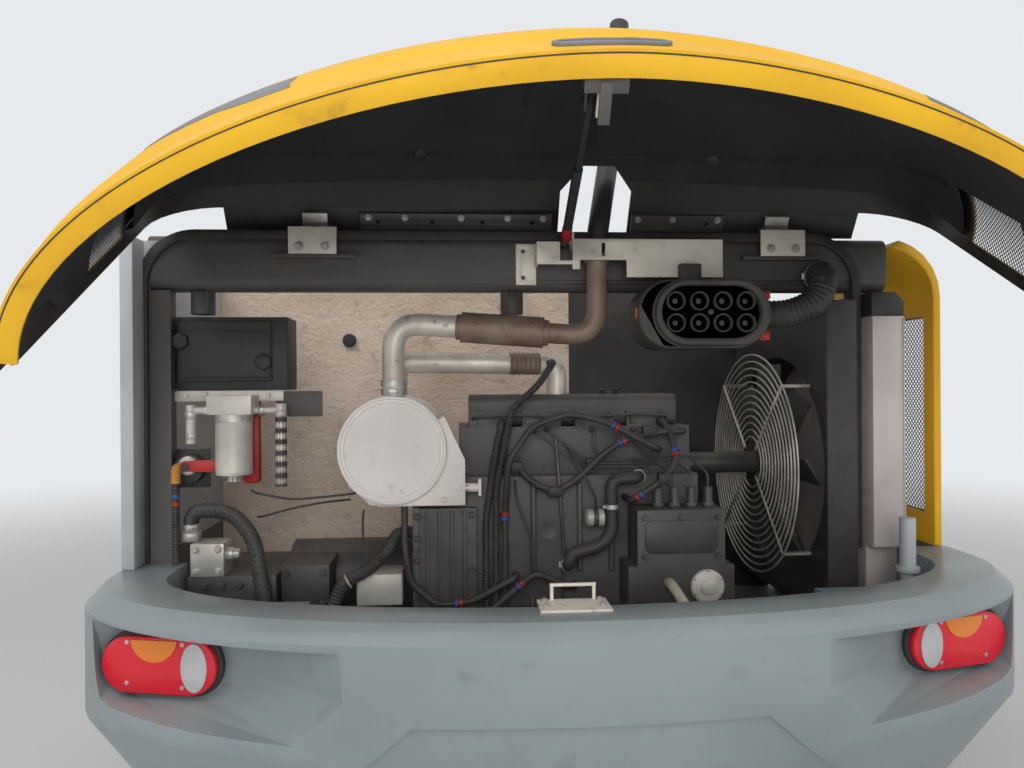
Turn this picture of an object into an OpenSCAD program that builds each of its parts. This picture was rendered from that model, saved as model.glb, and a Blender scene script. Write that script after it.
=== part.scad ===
// Rear engine bay of a wheeled excavator's upper structure, with its lifting hood open.
// Millimetres. Inside the modules x is measured from the middle plane, y forward from the
// rearmost point of the counterweight and z up from its top face. at_flange() moves every
// piece so that the origin is the centre of the front flange's bolt pattern.

/* [Counterweight] */
// Half of the counterweight's width
tail_half = 1125; // [1050:5:1200]
// Depth of its curved rear, from the rearmost point to where the sides run straight
tail_depth = 480; // [420:5:540]
// How square the rear curve is, 2 being an ellipse
tail_power = 2.1; // [2:0.05:2.5]
// Front face of the counterweight
tail_front = 600; // [580:5:640]
// Height of the counterweight
tail_height = 620; // [520:10:700]
// Width of the top face at the middle
top_face = 106; // [90:2:130]
// Width of the side arms
arm_width = 140; // [120:5:160]
// Height of the bevelled edge under the top face
bevel_height = 38; // [25:1:60]
// Width of the bevelled edge, seen from above
bevel_width = 30; // [10:2:40]
// How far the lower middle panel is sunk
panel_depth = 9; // [4:1:16]
// Half width of the lower middle panel along its top edge
panel_half = 357; // [300:5:400]

/* [Tail lamps] */
// Distance of a lamp's centre from the middle
lamp_x = 923; // [900:2:940]
// Height of a lamp's centre below the top face
lamp_drop = 148; // [135:5:170]
// Distance of a lamp's seat from the rearmost point
lamp_set = 272; // [260:2:310]
// Width of a lamp
lamp_width = 290; // [250:5:300]
// Height of a lamp
lamp_height = 142; // [120:2:150]
// Thickness of the rubber seat
seat_thick = 14; // [10:1:18]
// Thickness of the red lens at its edge
lens_thick = 16; // [12:1:22]
// Angle of the lamps from straight back
lamp_turn = 12; // [8:1:20]

/* [Frame] */
// Depth of the bay's floor below the counterweight's top face
deck_drop = 280; // [240:5:320]
// Thickness of the floor plate
deck_plate = 20; // [12:1:25]
// Distance from the rearmost point to the front flange's face
flange_y = 1345; // [1330:5:1400]
// Height of the flange's middle below the bay's floor
flange_drop = 70; // [60:5:90]
// Distance between the flange's bolts, across
bolt_span_x = 960; // [880:10:1000]
// Distance between the flange's bolts, up
bolt_span_z = 480; // [420:10:500]
// Diameter of the flange's bolt holes
bolt_hole = 27; // [22:1:33]
// Thickness of the flange plate
flange_plate = 20; // [16:1:25]
// Distance of each frame rail from the middle
rail_x = 415; // [380:5:450]
// Thickness of a frame rail
rail_plate = 30; // [20:2:36]

/* [Bay] */
// Distance from the counterweight's side to the left leg's inner face
left_leg_inset = 95; // [91:1:115]
// Distance from the counterweight's side to the right leg's inner face
right_leg_inset = 267; // [262:1:272]
// Thickness of the rubber seal
seal_thick = 12; // [10:1:14]
// Width of the rubber seal
seal_width = 26; // [20:1:30]
// Underside of the top beam
beam_z = 730; // [710:5:740]
// Height of the top beam
beam_height = 150; // [130:5:150]
// Depth of the top beam, front to back
beam_depth = 88; // [80:2:100]
// Radius of the beam's long edges
beam_edge = 32; // [20:2:40]
// Thickness of the firewall plate
firewall_plate = 6; // [4:1:10]
// Thickness of the side walls
wall_plate = 20; // [12:1:24]

/* [Hood] */
// Height of the hinge axis above the top beam
hinge_rise = 25; // [23:1:30]
// Distance of the hinge axis behind the beam's rear face
hinge_set = 24; // [22:1:28]
// Opening angle of the hood as it stands
hood_open = 58; // [50:1:60]
// Distance of a hinge's middle from the middle plane
hinge_x = 649; // [600:5:680]
// Distance of the hood's rim inside the counterweight's side
rim_inset = 80; // [72:1:100]
// Depth of the hood's plan curve
rim_depth = 560; // [530:5:580]
// How square the rim curve is
rim_power = 1.85; // [1.7:0.05:2.1]
// Height of the rim's underside above the counterweight
rim_z = 14; // [10:1:20]
// Distance of the hood's front edge inside the counterweight's side
arch_inset = 65; // [63:1:75]
// Height of the hood's top above the hinge axis
hood_rise = 39; // [37:1:50]
// Radius of the front edge's corners
arch_corner = 165; // [120:5:200]
// How square the hood's side profile is
side_power = 2.25; // [2:0.05:2.6]
// Depth of the crease that runs above the rim
crease_depth = 9; // [4:1:12]
// Thickness of the hood's skin
skin = 8; // [6:1:10]
// Thickness of the foam lining
foam = 22; // [14:1:24]
// Width of the rim's inward flange
rim_flange = 42; // [36:1:50]
// Distance of the exhaust notch's middle from the middle plane
notch_x = 125; // [120:1:135]
// Width of the exhaust notch
notch_width = 200; // [190:5:230]
// Length of the exhaust notch from the hinge edge
notch_length = 215; // [200:5:240]
// Width of the grip in the hood's rear
grip_width = 178; // [150:2:200]
// Height of the side vents
vent_height = 240; // [200:5:260]
// Length of the side vents
vent_length = 130; // [100:5:140]

/* [Hood stay] */
// Distance of the stay from the middle plane
stay_x = 32; // [26:1:36]
// Diameter of the stay's outer tube
stay_tube_d = 25; // [22:1:28]
// Diameter of the stay's inner rod
stay_rod_d = 17; // [12:1:18]
// Length of the stay's outer tube
stay_tube_length = 260; // [240:5:280]
// Diameter of the stay's pins
stay_pin_d = 12; // [10:1:13]

/* [Engine] */
// Rear face of the engine block
engine_y = 640; // [638:1:660]
// Width of the engine block, front to back
engine_depth = 340; // [320:10:360]
// Left end of the engine block
engine_left = -280; // [-300:5:-270]
// Right end of the engine block
engine_right = 420; // [400:5:440]
// Height of the crankshaft's axis
crank_z = -95; // [-110:5:-80]
// Top of the engine block
block_top = 215; // [210:5:220]
// Height of the cylinder head
head_height = 135; // [130:5:150]
// Height of the rocker cover
cover_height = 90; // [70:5:100]
// Radius of the flywheel housing
bell_r = 180; // [160:5:184]
// Length of the flywheel housing
bell_length = 108; // [90:2:120]
// Distance between the injection pump's delivery valves
valve_pitch = 47; // [42:1:50]

/* [Exhaust] */
// Radius of the silencer
silencer_r = 146; // [120:2:148]
// Length of the silencer
silencer_length = 300; // [260:10:320]
// Radius of the exhaust pipes
pipe_r = 28; // [24:1:30]
// Radius of the ribbed flexible sleeve
sleeve_r = 42; // [38:1:44]
// Number of ribs on the flexible sleeve
sleeve_ribs = 14; // [8:1:20]

/* [Cooling] */
// Radius of the fan
fan_r = 320; // [290:5:322]
// Distance of the fan's plane from the middle
fan_x = 742; // [736:1:750]
// Height of the fan's axis
fan_z = 215; // [205:1:225]
// Distance of the fan's axis from the rearmost point
fan_y = 915; // [910:1:920]
// Number of fan blades
fan_blades = 8; // [6:1:10]
// Diameter of the guard's wires
guard_wire = 6; // [5:0.5:8]
// Rear face of the radiator
radiator_y = 562; // [556:1:575]
// Thickness of the radiator
radiator_thick = 96; // [80:2:100]
// Height of the radiator's dark top tank
top_tank = 66; // [50:2:80]

/* [Air intake] */
// Width of the pre-cleaner's housing
cleaner_width = 348; // [320:2:360]
// Height of the pre-cleaner's housing
cleaner_height = 180; // [170:2:190]
// Radius of one cyclone tube
cyclone_r = 24; // [20:1:26]
// Depth of the recess that the tubes stand in
cyclone_depth = 62; // [40:2:80]
// Radius of the intake hose
intake_r = 40; // [36:1:42]

/* [Hidden] */

yellow = "#f2b90c";
weight_grey = "#6e797c";
light_grey = "#b7babd";
soot = "#2b2a2b";
foam_black = "#1d1d21";
rubber = "#222224";
steel = "#a9abad";
cast_grey = "#3d3f41";
heat_brown = "#6b4f3c";
zinc = "#b4b1a8";

// Running clearance between faces of different pieces
fit_gap = 0.3;
// Clearance between moving pieces and what they pass
move_gap = 8;
// Radius of the fan's shaft
shaft_r = 15;
// Roundness of turned shapes
round_fn = 48;
// Overshoot of a cut past the face that it leaves through
cut = 1;

deck_z = -deck_drop;
flange_z = deck_z - flange_drop;
flange_back = flange_y - flange_plate;
firewall_y = flange_back - 60;
cooling_back = firewall_y - 4;
bay_left = tail_half - left_leg_inset;
bay_right = tail_half - right_leg_inset;
bay_y = tail_front + seal_thick;
leg_width = 25;
leg_depth = 40;
beam_top = beam_z + beam_height;
arm_x = tail_half - arm_width;
wall_x = tail_half - 15;
panel_x = tail_half - 7;
rim_half = tail_half - rim_inset;
arch_half = tail_half - arch_inset;
hinge_y = bay_y + hinge_set;
hinge_z = beam_top + hinge_rise;
hood_top = hinge_z + hood_rise;
hood_front = bay_y - seal_thick - move_gap;
rim_y = hood_front - rim_depth;
head_y = engine_y + 20;
head_top = block_top + head_height;
cover_top = head_top + cover_height;
engine_mid = engine_y + engine_depth / 2;
bell_left = engine_left - bell_length;
guard_r = fan_r + 25;
shroud_x = fan_x + 20;
radiator_x = bay_right + leg_width + 9;

module at_flange() translate([0, -flange_y, -flange_z]) children();

// Small shapes used by several pieces

module block(low, high) translate(low) cube(high - low);

module rod_x(x0, x1, y, z, r) translate([x0, y, z]) rotate([0, 90, 0])
  cylinder(h = x1 - x0, r = r, $fn = round_fn);

module rod_y(x, y0, y1, z, r) translate([x, y0, z]) rotate([-90, 0, 0])
  cylinder(h = y1 - y0, r = r, $fn = round_fn);

module rod_z(x, y, z0, z1, r) translate([x, y, z0]) cylinder(h = z1 - z0, r = r, $fn = round_fn);

// Bar of rectangular section with rounded long edges, along x
module rounded_bar(low, high, r) {
  block([low[0], low[1] + r, low[2]], [high[0], high[1] - r, high[2]]);
  block([low[0], low[1], low[2] + r], [high[0], high[1], high[2] - r]);
  for (y = [low[1] + r, high[1] - r], z = [low[2] + r, high[2] - r])
    rod_x(low[0], high[0], y, z, r);
}

// Rounded slot or oval, lying in x and y
module oval(width, height) {
  square([width - height, height], center = true);
  for (s = [-1, 1]) translate([s * (width - height) / 2, 0]) circle(height / 2, $fn = round_fn);
}

// Tube swept along a route of points, as one polyhedron with flat ends
function unit(v) = v / norm(v);
function leg(p, i) = i < 0 || i > len(p) - 2 ? [0, 0, 0] : unit(p[i + 1] - p[i]);
function route_dir(p, i) = unit(leg(p, i - 1) + leg(p, i));
function carry(n, d) = unit(n - d * (n * d));
function route_normals(p, i, n) = i == len(p) ? [] :
  let (m = carry(n, route_dir(p, i))) concat([m], route_normals(p, i + 1, m));
function first_normal(d) = abs(d[2]) < 0.9 ? carry([0, 0, 1], d) : carry([1, 0, 0], d);
function ring_point(c, d, n, r, a) = c + r * (n * cos(a) + cross(d, n) * sin(a));

// Faces of a closed body through rings of equally many points
function ring_faces(rings, count) =
  let (last = (rings - 1) * count)
  concat([[for (k = [0 : count - 1]) k]],
    [for (i = [0 : rings - 2], k = [0 : count - 1]) let (a = i * count, b = a + count, n = (k + 1) % count)
      [a + k, b + k, b + n, a + n]],
    [[for (k = [count - 1 : -1 : 0]) last + k]]);

module route_tube(route, r, sides = 10) {
  normals = route_normals(route, 0, first_normal(route_dir(route, 0)));
  points = [for (i = [0 : len(route) - 1], k = [0 : sides - 1])
    ring_point(route[i], route_dir(route, i), normals[i], r, k * 360 / sides)];
  polyhedron(points, ring_faces(len(route), sides), convexity = 6);
}

// Route through chosen points with each corner rounded by a curve of a few steps
function corner_end(b, to, reach) = b + unit(to - b) * min(reach, norm(to - b) * 0.45);
function corner_curve(a, b, c, reach, steps) =
  let (p = corner_end(b, a, reach), q = corner_end(b, c, reach))
  [for (i = [0 : steps]) let (t = i / steps) p * pow(1 - t, 2) + b * 2 * t * (1 - t) + q * pow(t, 2)];
function rounded_route(p, reach, steps = 4) = concat([p[0]],
  [for (i = [1 : len(p) - 2]) each corner_curve(p[i - 1], p[i], p[i + 1], reach, steps)],
  [p[len(p) - 1]]);

// Solid through rings of points, lowest ring first, anticlockwise from above
module loft(rings) polyhedron([for (ring = rings) each ring], ring_faces(len(rings), len(rings[0])),
  convexity = 6);

// Counterweight

function sign_power(v, e) = sign(v) * pow(abs(v), e);
function power_arc(half, depth, power, a) =
  [half * sign_power(sin(a), 2 / power), depth * (1 - pow(abs(cos(a)), 2 / power))];
// Plan outline inset by a distance, closed along the front face
function tail_outline(inset) = concat(
  [for (a = [-90 : 6 : 90]) power_arc(tail_half - inset, tail_depth, tail_power, a) + [0, inset]],
  [[tail_half - inset, tail_front], [-(tail_half - inset), tail_front]]);
function tail_ring(inset, z) = [for (p = tail_outline(inset)) [p[0], p[1], z]];
// Place of the outline's edge at a distance from the middle
function tail_edge(x, inset) =
  inset + tail_depth * (1 - pow(1 - pow(min(1, abs(x) / (tail_half - inset)), tail_power), 1 / tail_power));
// Columns: inset of the outline, height as a share of the whole height from the top
tail_levels = [[136, 1], [42, 0.7], [-bevel_width, 0.45], [-bevel_width, bevel_height / tail_height], [0, 0]];

module tail_body(sink)
  loft([for (level = tail_levels) tail_ring(level[0] + sink, -level[1] * tail_height)]);

// The layer of the counterweight down to a depth, to be cut away inside an outline
module tail_layer(depth) difference() {
  block([-2 * tail_half, -60, -tail_height], [2 * tail_half, tail_front, 0]);
  tail_body(depth);
}

// Scoop round a lamp: a flat floor that carries the lamp and sides that slope out to this outline
// Columns: distance outwards from the lamp, height from the lamp
scoop_outline = [[157, 103], [-423, 92], [-431, -2], [-336, -92], [127, -66]];
scoop_reach = 160;
floor_margin = 6;
module scoop_cut(side) hull() {
  at_lamp(side) translate([0, 0, -fit_gap]) linear_extrude(1) lens_outline(-floor_margin);
  for (p = scoop_outline) let (x = lamp_x + p[0])
    translate([side * x, tail_edge(x, -bevel_width) - scoop_reach, -lamp_drop + p[1]])
      cube([1, scoop_reach, 1]);
}

// Casting that stays behind each scoop inside the hollow: behind its floor, and on both sides of the lamp
lamp_wall = 62;
lamp_back_half = 310;
module lamp_back(side) translate([side * lamp_x, 0, 0])
  block([-lamp_back_half, 0, deck_z - cut], [lamp_back_half, lamp_set + lamp_wall, -bevel_height]);

panel_top = -197;
panel_flare = 200;
panel_knee = -370;

module panel_cut() intersection() {
  tail_layer(panel_depth);
  translate([0, tail_front / 2, 0]) rotate([90, 0, 0]) linear_extrude(tail_front)
    polygon([[-panel_half, panel_top], [-panel_half - panel_flare, panel_knee],
      [-panel_half - panel_flare, -tail_height - cut], [panel_half + panel_flare, -tail_height - cut],
      [panel_half + panel_flare, panel_knee], [panel_half, panel_top]]);
}

module counterweight() at_flange() color(weight_grey) difference() {
  tail_body(0);
  for (side = [-1, 1]) scoop_cut(side);
  panel_cut();
  difference() {
    translate([0, 0, deck_z]) linear_extrude(deck_drop + cut) polygon(concat(
      [for (a = [-90 : 6 : 90]) power_arc(arm_x, tail_depth - top_face, tail_power, a) + [0, top_face]],
      [[arm_x, tail_front + cut], [-arm_x, tail_front + cut]]));
    for (side = [-1, 1]) lamp_back(side);
  }
}

// Frame

foot_width = 90;
foot_height = 40;
sill_plate = 20;
flange_margin_x = 80;
flange_margin_z = 50;

module tail_frame() at_flange() color(soot) difference() {
  union() {
    block([-wall_x, tail_front, deck_z - deck_plate], [wall_x, flange_back, deck_z]);
    for (side = [-1, 1]) {
      translate([side * rail_x, 0, 0])
        block([-rail_plate / 2, tail_front, -tail_height], [rail_plate / 2, flange_back, deck_z - deck_plate]);
      translate([side * (wall_x - sill_plate / 2), 0, 0])
        block([-sill_plate / 2, tail_front, deck_z], [sill_plate / 2, flange_back, 0]);
    }
    block([-bolt_span_x / 2 - flange_margin_x, flange_back, flange_z - bolt_span_z / 2 - flange_margin_z],
      [bolt_span_x / 2 + flange_margin_x, flange_y, flange_z + bolt_span_z / 2 + flange_margin_z]);
    for (x = [engine_left + 60, engine_right - 60]) translate([x, 0, 0])
      block([-foot_width / 2, head_y, deck_z],
        [foot_width / 2, engine_y + engine_depth - 20, deck_z + foot_height]);
  }
  for (x = [-1, 1], z = [-1, 1]) rod_y(x * bolt_span_x / 2, flange_back - cut, flange_y + cut,
    flange_z + z * bolt_span_z / 2, bolt_hole / 2);
}

post_depth = 70;
post_width = 33;
corner_plate = [130, 120];

// The post has a plate that fills the corner outside the rounded seal
module left_post() at_flange() color(light_grey) {
  block([-tail_half - 3, tail_front - post_depth, 0], [-tail_half - 3 + post_width, tail_front, beam_top - 20]);
  translate([0, tail_front + seal_thick - fit_gap, 0]) rotate([90, 0, 0]) linear_extrude(seal_thick - fit_gap)
    difference() {
      translate([-tail_half - 3, beam_top - 20 - corner_plate[1]]) square(corner_plate);
      seal_outline(-fit_gap);
    }
}

module left_side_wall() at_flange() color(light_grey)
  block([-wall_x, bay_y, 0], [-wall_x + wall_plate, flange_back, beam_top - 20]);

// Side panel's profile in x and z, from the sill up round the hood's corner
panel_plate = 22;
function side_profile(inset) = concat([[panel_x - inset, 0]],
  [for (a = [0 : 15 : 75]) [panel_x - inset - arch_corner * (1 - cos(a)),
    beam_top - arch_corner + (arch_corner - inset) * sin(a)]]);

// Columns of the side window: y and z of its lowest and highest corner
window_low = [650, 90];
window_high = [1220, 660];
module side_window(x0, x1) block([x0, window_low[0], window_low[1]], [x1, window_high[0], window_high[1]]);

module right_side_panel() at_flange() color(yellow) difference() {
  translate([0, flange_back, 0]) rotate([90, 0, 0]) linear_extrude(flange_back - tail_front)
    polygon(concat(side_profile(0), [for (i = [6 : -1 : 0]) side_profile(panel_plate)[i]]));
  side_window(panel_x - 58, panel_x + 12);
}

grille_pitch = [63, 31];
grille_slot = [50, 16];
module right_side_grille() at_flange() color(soot) difference() {
  side_window(panel_x - 18, panel_x - 12);
  for (row = [0 : 17], slot = [0 : 8])
    translate([0, window_low[0] + 6 + slot * grille_pitch[0], window_low[1] + 16 + row * grille_pitch[1]])
      block([panel_x - 18 - cut, 0, 0], [panel_x - 12 + cut, grille_slot[0], grille_slot[1]]);
}

stub_x = [-958, -109];
stub_length = 62;
stub_r = 32;
module bay_frame() at_flange() color(soot) {
  rounded_bar([-wall_x + wall_plate, bay_y, beam_z], [bay_right + 106, bay_y + beam_depth, beam_top],
    beam_edge);
  block([-wall_x + wall_plate, bay_y, deck_z], [-bay_left, bay_y + leg_depth, beam_z]);
  block([bay_right, bay_y, deck_z], [bay_right + leg_width, bay_y + leg_depth, beam_z]);
  for (x = stub_x) rod_z(x, bay_y + beam_depth / 2, beam_z - stub_length, beam_z, stub_r);
}

// Rounded outline of the seal, inset from its outer edge
seal_corner = 150;
module seal_outline(inset) {
  r = seal_corner - inset;
  left = -tail_half + 13 + inset;
  right = bay_right + leg_width - inset;
  top = beam_top + 12 - inset;
  translate([left, -cut - inset]) square([right - left, top - r + cut + inset]);
  translate([left + r, 0]) square([right - left - 2 * r, top]);
  for (x = [left + r, right - r]) translate([x, top - r]) circle(r, $fn = round_fn);
}

module bay_seal() at_flange() color(rubber) translate([0, bay_y, 0]) rotate([90, 0, 0])
  linear_extrude(seal_thick) intersection() {
    difference() {
      seal_outline(0);
      seal_outline(seal_width);
    }
    translate([-2 * tail_half, 0]) square([4 * tail_half, 2 * beam_top]);
  }

module firewall() at_flange() color("#b9b2a6")
  block([-wall_x + wall_plate + fit_gap, firewall_y, deck_z],
    [radiator_x - 12, firewall_y + firewall_plate, beam_top]);

// Tail lamps, each on the floor of its scoop and turned with it

lens_margin = 8;
dome_height = 5;

module at_lamp(side) translate([side * lamp_x, lamp_set, -lamp_drop]) rotate([0, 0, side * lamp_turn])
  rotate([90, 0, 0]) children();

module lens_outline(margin) oval(lamp_width - 2 * margin, lamp_height - 2 * margin);

module lamp_seat(side) at_flange() color(rubber) at_lamp(side) linear_extrude(seat_thick) lens_outline(0);
module left_lamp_seat() lamp_seat(-1);
module right_lamp_seat() lamp_seat(1);

// Red lens with a raised half round amber part and a raised clear round part
module tail_lamp(side) at_flange() color("#b3202a") at_lamp(side) translate([0, 0, seat_thick]) {
  linear_extrude(lens_thick) lens_outline(lens_margin);
  translate([0, 0, lens_thick]) linear_extrude(dome_height) {
    translate([-side * (lamp_width - lamp_height) / 2, 0])
      circle(lamp_height / 2 - 2 * lens_margin, $fn = round_fn);
    intersection() {
      lens_outline(1.5 * lens_margin);
      translate([side * 12, lamp_height / 2 - lens_margin]) circle(lamp_height / 3, $fn = round_fn);
    }
  }
}
module left_tail_lamp() tail_lamp(-1);
module right_tail_lamp() tail_lamp(1);

// Hood, drawn shut and then turned open about its hinge axis

module opened(angle = hood_open) translate([0, hinge_y, hinge_z]) rotate([-angle, 0, 0])
  translate([0, -hinge_y, -hinge_z]) children();

function arch_point(s, inset) =
  let (corner = arch_corner - inset, rise = hood_top - rim_z - inset, half = arch_half - inset,
       side_run = rise - corner, bend_run = corner * PI / 2, d = s * (side_run + bend_run + half - corner))
  d < side_run ? [half, d]
  : d < side_run + bend_run
    ? let (t = (d - side_run) / corner * 180 / PI) [half - corner * (1 - cos(t)), side_run + corner * sin(t)]
    : [half - corner - (d - side_run - bend_run), rise];

// The crease stands out above its lower edge and fades towards the front edge and the sides
crease_angle = 5;
crease_run = 1.5;
crease_fade = 60;
side_fade = 0.3;
function crease(s, b) =
  let (past = max(0, b - crease_angle), fade = max(0, 1 - max(0, past - crease_run) / crease_fade))
  crease_depth * min(1, s / side_fade) * min(1, past / crease_run) * fade;

// Point of the shut hood: s from 0 at a side's front end to 1 at the middle, b from 0 at the rim
// to 90 at the front edge
function hood_point(side, s, b, inset) =
  let (deep = inset - crease(s, b), rim = power_arc(rim_half - deep, rim_depth - deep, rim_power, 90 * (1 - s)),
       arch = arch_point(s, deep), w = pow(sin(b), 2))
  [side * ((1 - w) * rim[0] + w * arch[0]),
   hood_front - (rim_depth - deep - rim[1]) * pow(cos(b), 2 / side_power),
   rim_z + arch[1] * pow(sin(b), 2 / side_power)];

// The hood's grid: columns from a side's front end to the middle, rows from the rim to the front edge
hood_columns = 20;
row_step = 7.5;
hood_rows = 13;
first_share = 0.04;
function column_share(i) = first_share + (1 - first_share) * i / hood_columns;
function row_angle(j) = j == 0 ? 0 : j < 3 ? crease_angle + (j - 1) * crease_run : (j - 1) * row_step;
function hood_row(j, inset, skip) = concat(
  [for (i = [skip : hood_columns]) hood_point(-1, column_share(i), row_angle(j), inset)],
  [for (i = [hood_columns - 1 : -1 : skip]) hood_point(1, column_share(i), row_angle(j), inset)]);

// Two triangles of a quad with corners a, b, c and d in order
function quad(a, b, c, d) = [[a, b, c], [a, c, d]];

// Curved sheet between two insets, leaving out some columns at each side and some rows at the
// rim and the front
module hood_sheet(outer, inner, skip = 0, low = 0, high = hood_rows) {
  count = 2 * (hood_columns - skip) + 1;
  rows = high - low;
  half = count * (rows + 1);
  top = rows * count;
  points = [for (inset = [outer, inner], j = [low : high]) each hood_row(j, inset, skip)];
  faces = concat(
    [for (j = [0 : rows - 1], i = [0 : count - 2]) let (k = j * count + i, n = k + count)
      each quad(k, n, n + 1, k + 1)],
    [for (j = [0 : rows - 1], i = [0 : count - 2]) let (k = half + j * count + i, n = k + count)
      each [[k, n + 1, n], [k, k + 1, n + 1]]],
    [for (i = [0 : count - 2]) each quad(i, i + 1, half + i + 1, half + i)],
    [for (i = [0 : count - 2]) let (k = top + i) each quad(k + 1, k, half + k, half + k + 1)],
    [for (j = [0 : rows - 1]) let (k = j * count) each quad(k + count, k, half + k, half + k + count)],
    [for (j = [0 : rows - 1]) let (k = (j + 1) * count - 1)
      each quad(k, k + count, half + k + count, half + k)]);
  polyhedron(points, faces, convexity = 8);
}

// Inward flange along the rim
rim_sweep = 84;
rim_step = 5.25;
function rim_line(inset, from, step, to) = [for (a = [from : step : to])
  power_arc(rim_half - inset, rim_depth - inset, rim_power, a) + [0, rim_y + inset]];
module rim_band() translate([0, 0, rim_z]) linear_extrude(skin) polygon(concat(
  rim_line(0, -rim_sweep, rim_step, rim_sweep), rim_line(rim_flange, rim_sweep, -rim_step, -rim_sweep)));

notch_taper = 75;
notch_tip = 0.42;
module notch_cut(grow = 0) {
  w = notch_width / 2 + grow;
  back = hinge_y + 40 - notch_length - grow;
  front = hinge_y + 60;
  translate([notch_x, 0, hood_top - 200]) linear_extrude(300) polygon([[-w, front], [-w, back + notch_taper],
    [-w * notch_tip, back], [w * notch_tip, back], [w, back + notch_taper], [w, front]]);
}

// Space of a side vent, grown on all sides by a margin
vent_low = 400;
vent_front_gap = 30;
module vent_box(side, grow) translate([side * rim_half, 0, 0])
  block([-195, hood_front - vent_front_gap - vent_length - grow, vent_low - grow],
    [195, hood_front - vent_front_gap + grow, vent_low + vent_height + grow]);

flap_half = 900;
flap_front = hinge_y + 36;
module hood_shell() at_flange() opened() color(yellow) difference() {
  union() {
    hood_sheet(0, skin);
    rim_band();
    block([-flap_half, hood_front - 2, hood_top - skin], [flap_half, flap_front, hood_top]);
  }
  notch_cut();
  for (side = [-1, 1]) vent_box(side, 0);
}

// Joints between the foam panels: two from rim to roof and one across by the hinges
foam_joint_x = [-90, 82];
foam_joint_y = 430;
foam_joint = 6;
module lining_joints() intersection() {
  hood_sheet(skin + foam - 9, skin + foam + 9);
  union() {
    for (x = foam_joint_x) translate([x, 0, 0])
      block([-foam_joint / 2, 0, rim_z + 200], [foam_joint / 2, foam_joint_y, hood_top]);
    block([-flap_half, foam_joint_y, hood_top - 200], [flap_half, foam_joint_y + foam_joint, hood_top]);
  }
}

stay_foot = [stay_x, bay_y - 40, beam_top - 24];
stay_head_shut = [stay_x, 205, 590];
head_window = [26, 44];
module hood_lining() at_flange() opened() color(foam_black) difference() {
  hood_sheet(skin + 1, skin + foam, 2, 2, hood_rows - 1);
  notch_cut(12);
  block([stay_x - head_window[0], 60, stay_head_shut[2] - head_window[1]],
    [stay_x + head_window[0], 300, stay_head_shut[2] + head_window[1]]);
  for (side = [-1, 1]) vent_box(side, 10);
  lining_joints();
}

vent_pitch = [42, 32];
vent_slot = [34, 18];
module hood_side_grilles() at_flange() opened() color(soot) for (side = [-1, 1]) difference() {
  intersection() {
    hood_sheet(skin + fit_gap, skin + 4);
    vent_box(side, 8);
  }
  for (row = [0 : 6], slot = [0 : 2]) translate([side * rim_half,
    hood_front - vent_front_gap - vent_length + 4 + slot * vent_pitch[0], vent_low + 8 + row * vent_pitch[1]])
      block([-195, 0, 0], [195, vent_slot[0], vent_slot[1]]);
}

// Grip pressed into the hood's rear above the rim
grip_x = -33;
grip_z = 62;
grip_height = 40;
module grip_prism(margin) translate([grip_x, rim_y + 100, grip_z]) rotate([90, 0, 0]) linear_extrude(200)
  oval(grip_width - 2 * margin, grip_height - 2 * margin);
module hood_grip() at_flange() opened() color("#55575a") difference() {
  intersection() {
    hood_sheet(-6, -fit_gap);
    grip_prism(0);
  }
  intersection() {
    hood_sheet(-9, -2);
    grip_prism(9);
  }
}

// Angle bars under the hood's front flap. Columns: left end, right end
front_bars = [[-530, 5], [232, 500]];
bar_holes = [-480, -330, -190, -50, 450];
module hood_front_bars() at_flange() opened() color(soot) difference() {
  for (bar = front_bars) block([bar[0], hinge_y - 36, hood_top - skin - 14],
    [bar[1], hinge_y + 12, hood_top - skin - fit_gap]);
  for (x = bar_holes) rod_z(x, hinge_y - 12, hood_top - 30, hood_top, 6);
}

hinge_pin_r = 8;
ear_offset = 42;
ear_plate = 12;
block_half = 65;
shelf_half = 115;
module hood_hinge_bases() at_flange() color(soot) for (side = [-1, 1]) translate([side * hinge_x, 0, 0]) {
  block([-70, bay_y + 4, beam_top], [70, bay_y + 60, beam_top + 6]);
  for (e = [-1, 1]) translate([e * ear_offset, 0, 0]) {
    block([-ear_plate / 2, hinge_y - 14, beam_top], [ear_plate / 2, hinge_y + 14, hinge_z]);
    rod_x(-ear_plate / 2, ear_plate / 2, hinge_y, hinge_z, 14);
  }
  rod_x(-52, 52, hinge_y, hinge_z, hinge_pin_r);
  block([-block_half, bay_y + fit_gap, beam_top], [block_half, bay_y + 4.5, beam_top + 19]);
  block([-block_half, bay_y - 26, beam_top + 13], [block_half, bay_y + 4.5, beam_top + 19]);
  block([-block_half, bay_y - 26, beam_top - 66], [block_half, bay_y - 13, beam_top + 19]);
  block([-shelf_half, bay_y - 30, beam_top - 66], [shelf_half, bay_y - 13, beam_top - 56]);
}

leaf_half = 34;
module hood_hinge_leaves() at_flange() opened() color(steel)
  for (side = [-1, 1]) translate([side * hinge_x, 0, 0]) difference() {
    union() {
      rod_x(-leaf_half, leaf_half, hinge_y, hinge_z, 15);
      block([-leaf_half, hinge_y - 40, hinge_z + 4], [leaf_half, hinge_y, hinge_z + 14]);
      block([-leaf_half, hinge_y - 40, hinge_z + 4], [leaf_half, hinge_y - 30, hood_top - skin]);
    }
    rod_x(-leaf_half - cut, leaf_half + cut, hinge_y, hinge_z, hinge_pin_r + fit_gap);
  }

// Latch on the rim's flange: a plate, a channel with two cheeks, and a hook that reaches forward
latch_x = [-75, -9];
module hood_latch() at_flange() opened() color(steel) translate([0, rim_y, rim_z + skin]) {
  block([latch_x[0], 24, 0], [latch_x[1], 64, 6]);
  for (x = [latch_x[0], latch_x[1] - 4]) block([x, 30, 0], [x + 4, 60, 22]);
  block([-52, 48, -5], [-34, 108, 1]);
}

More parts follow.
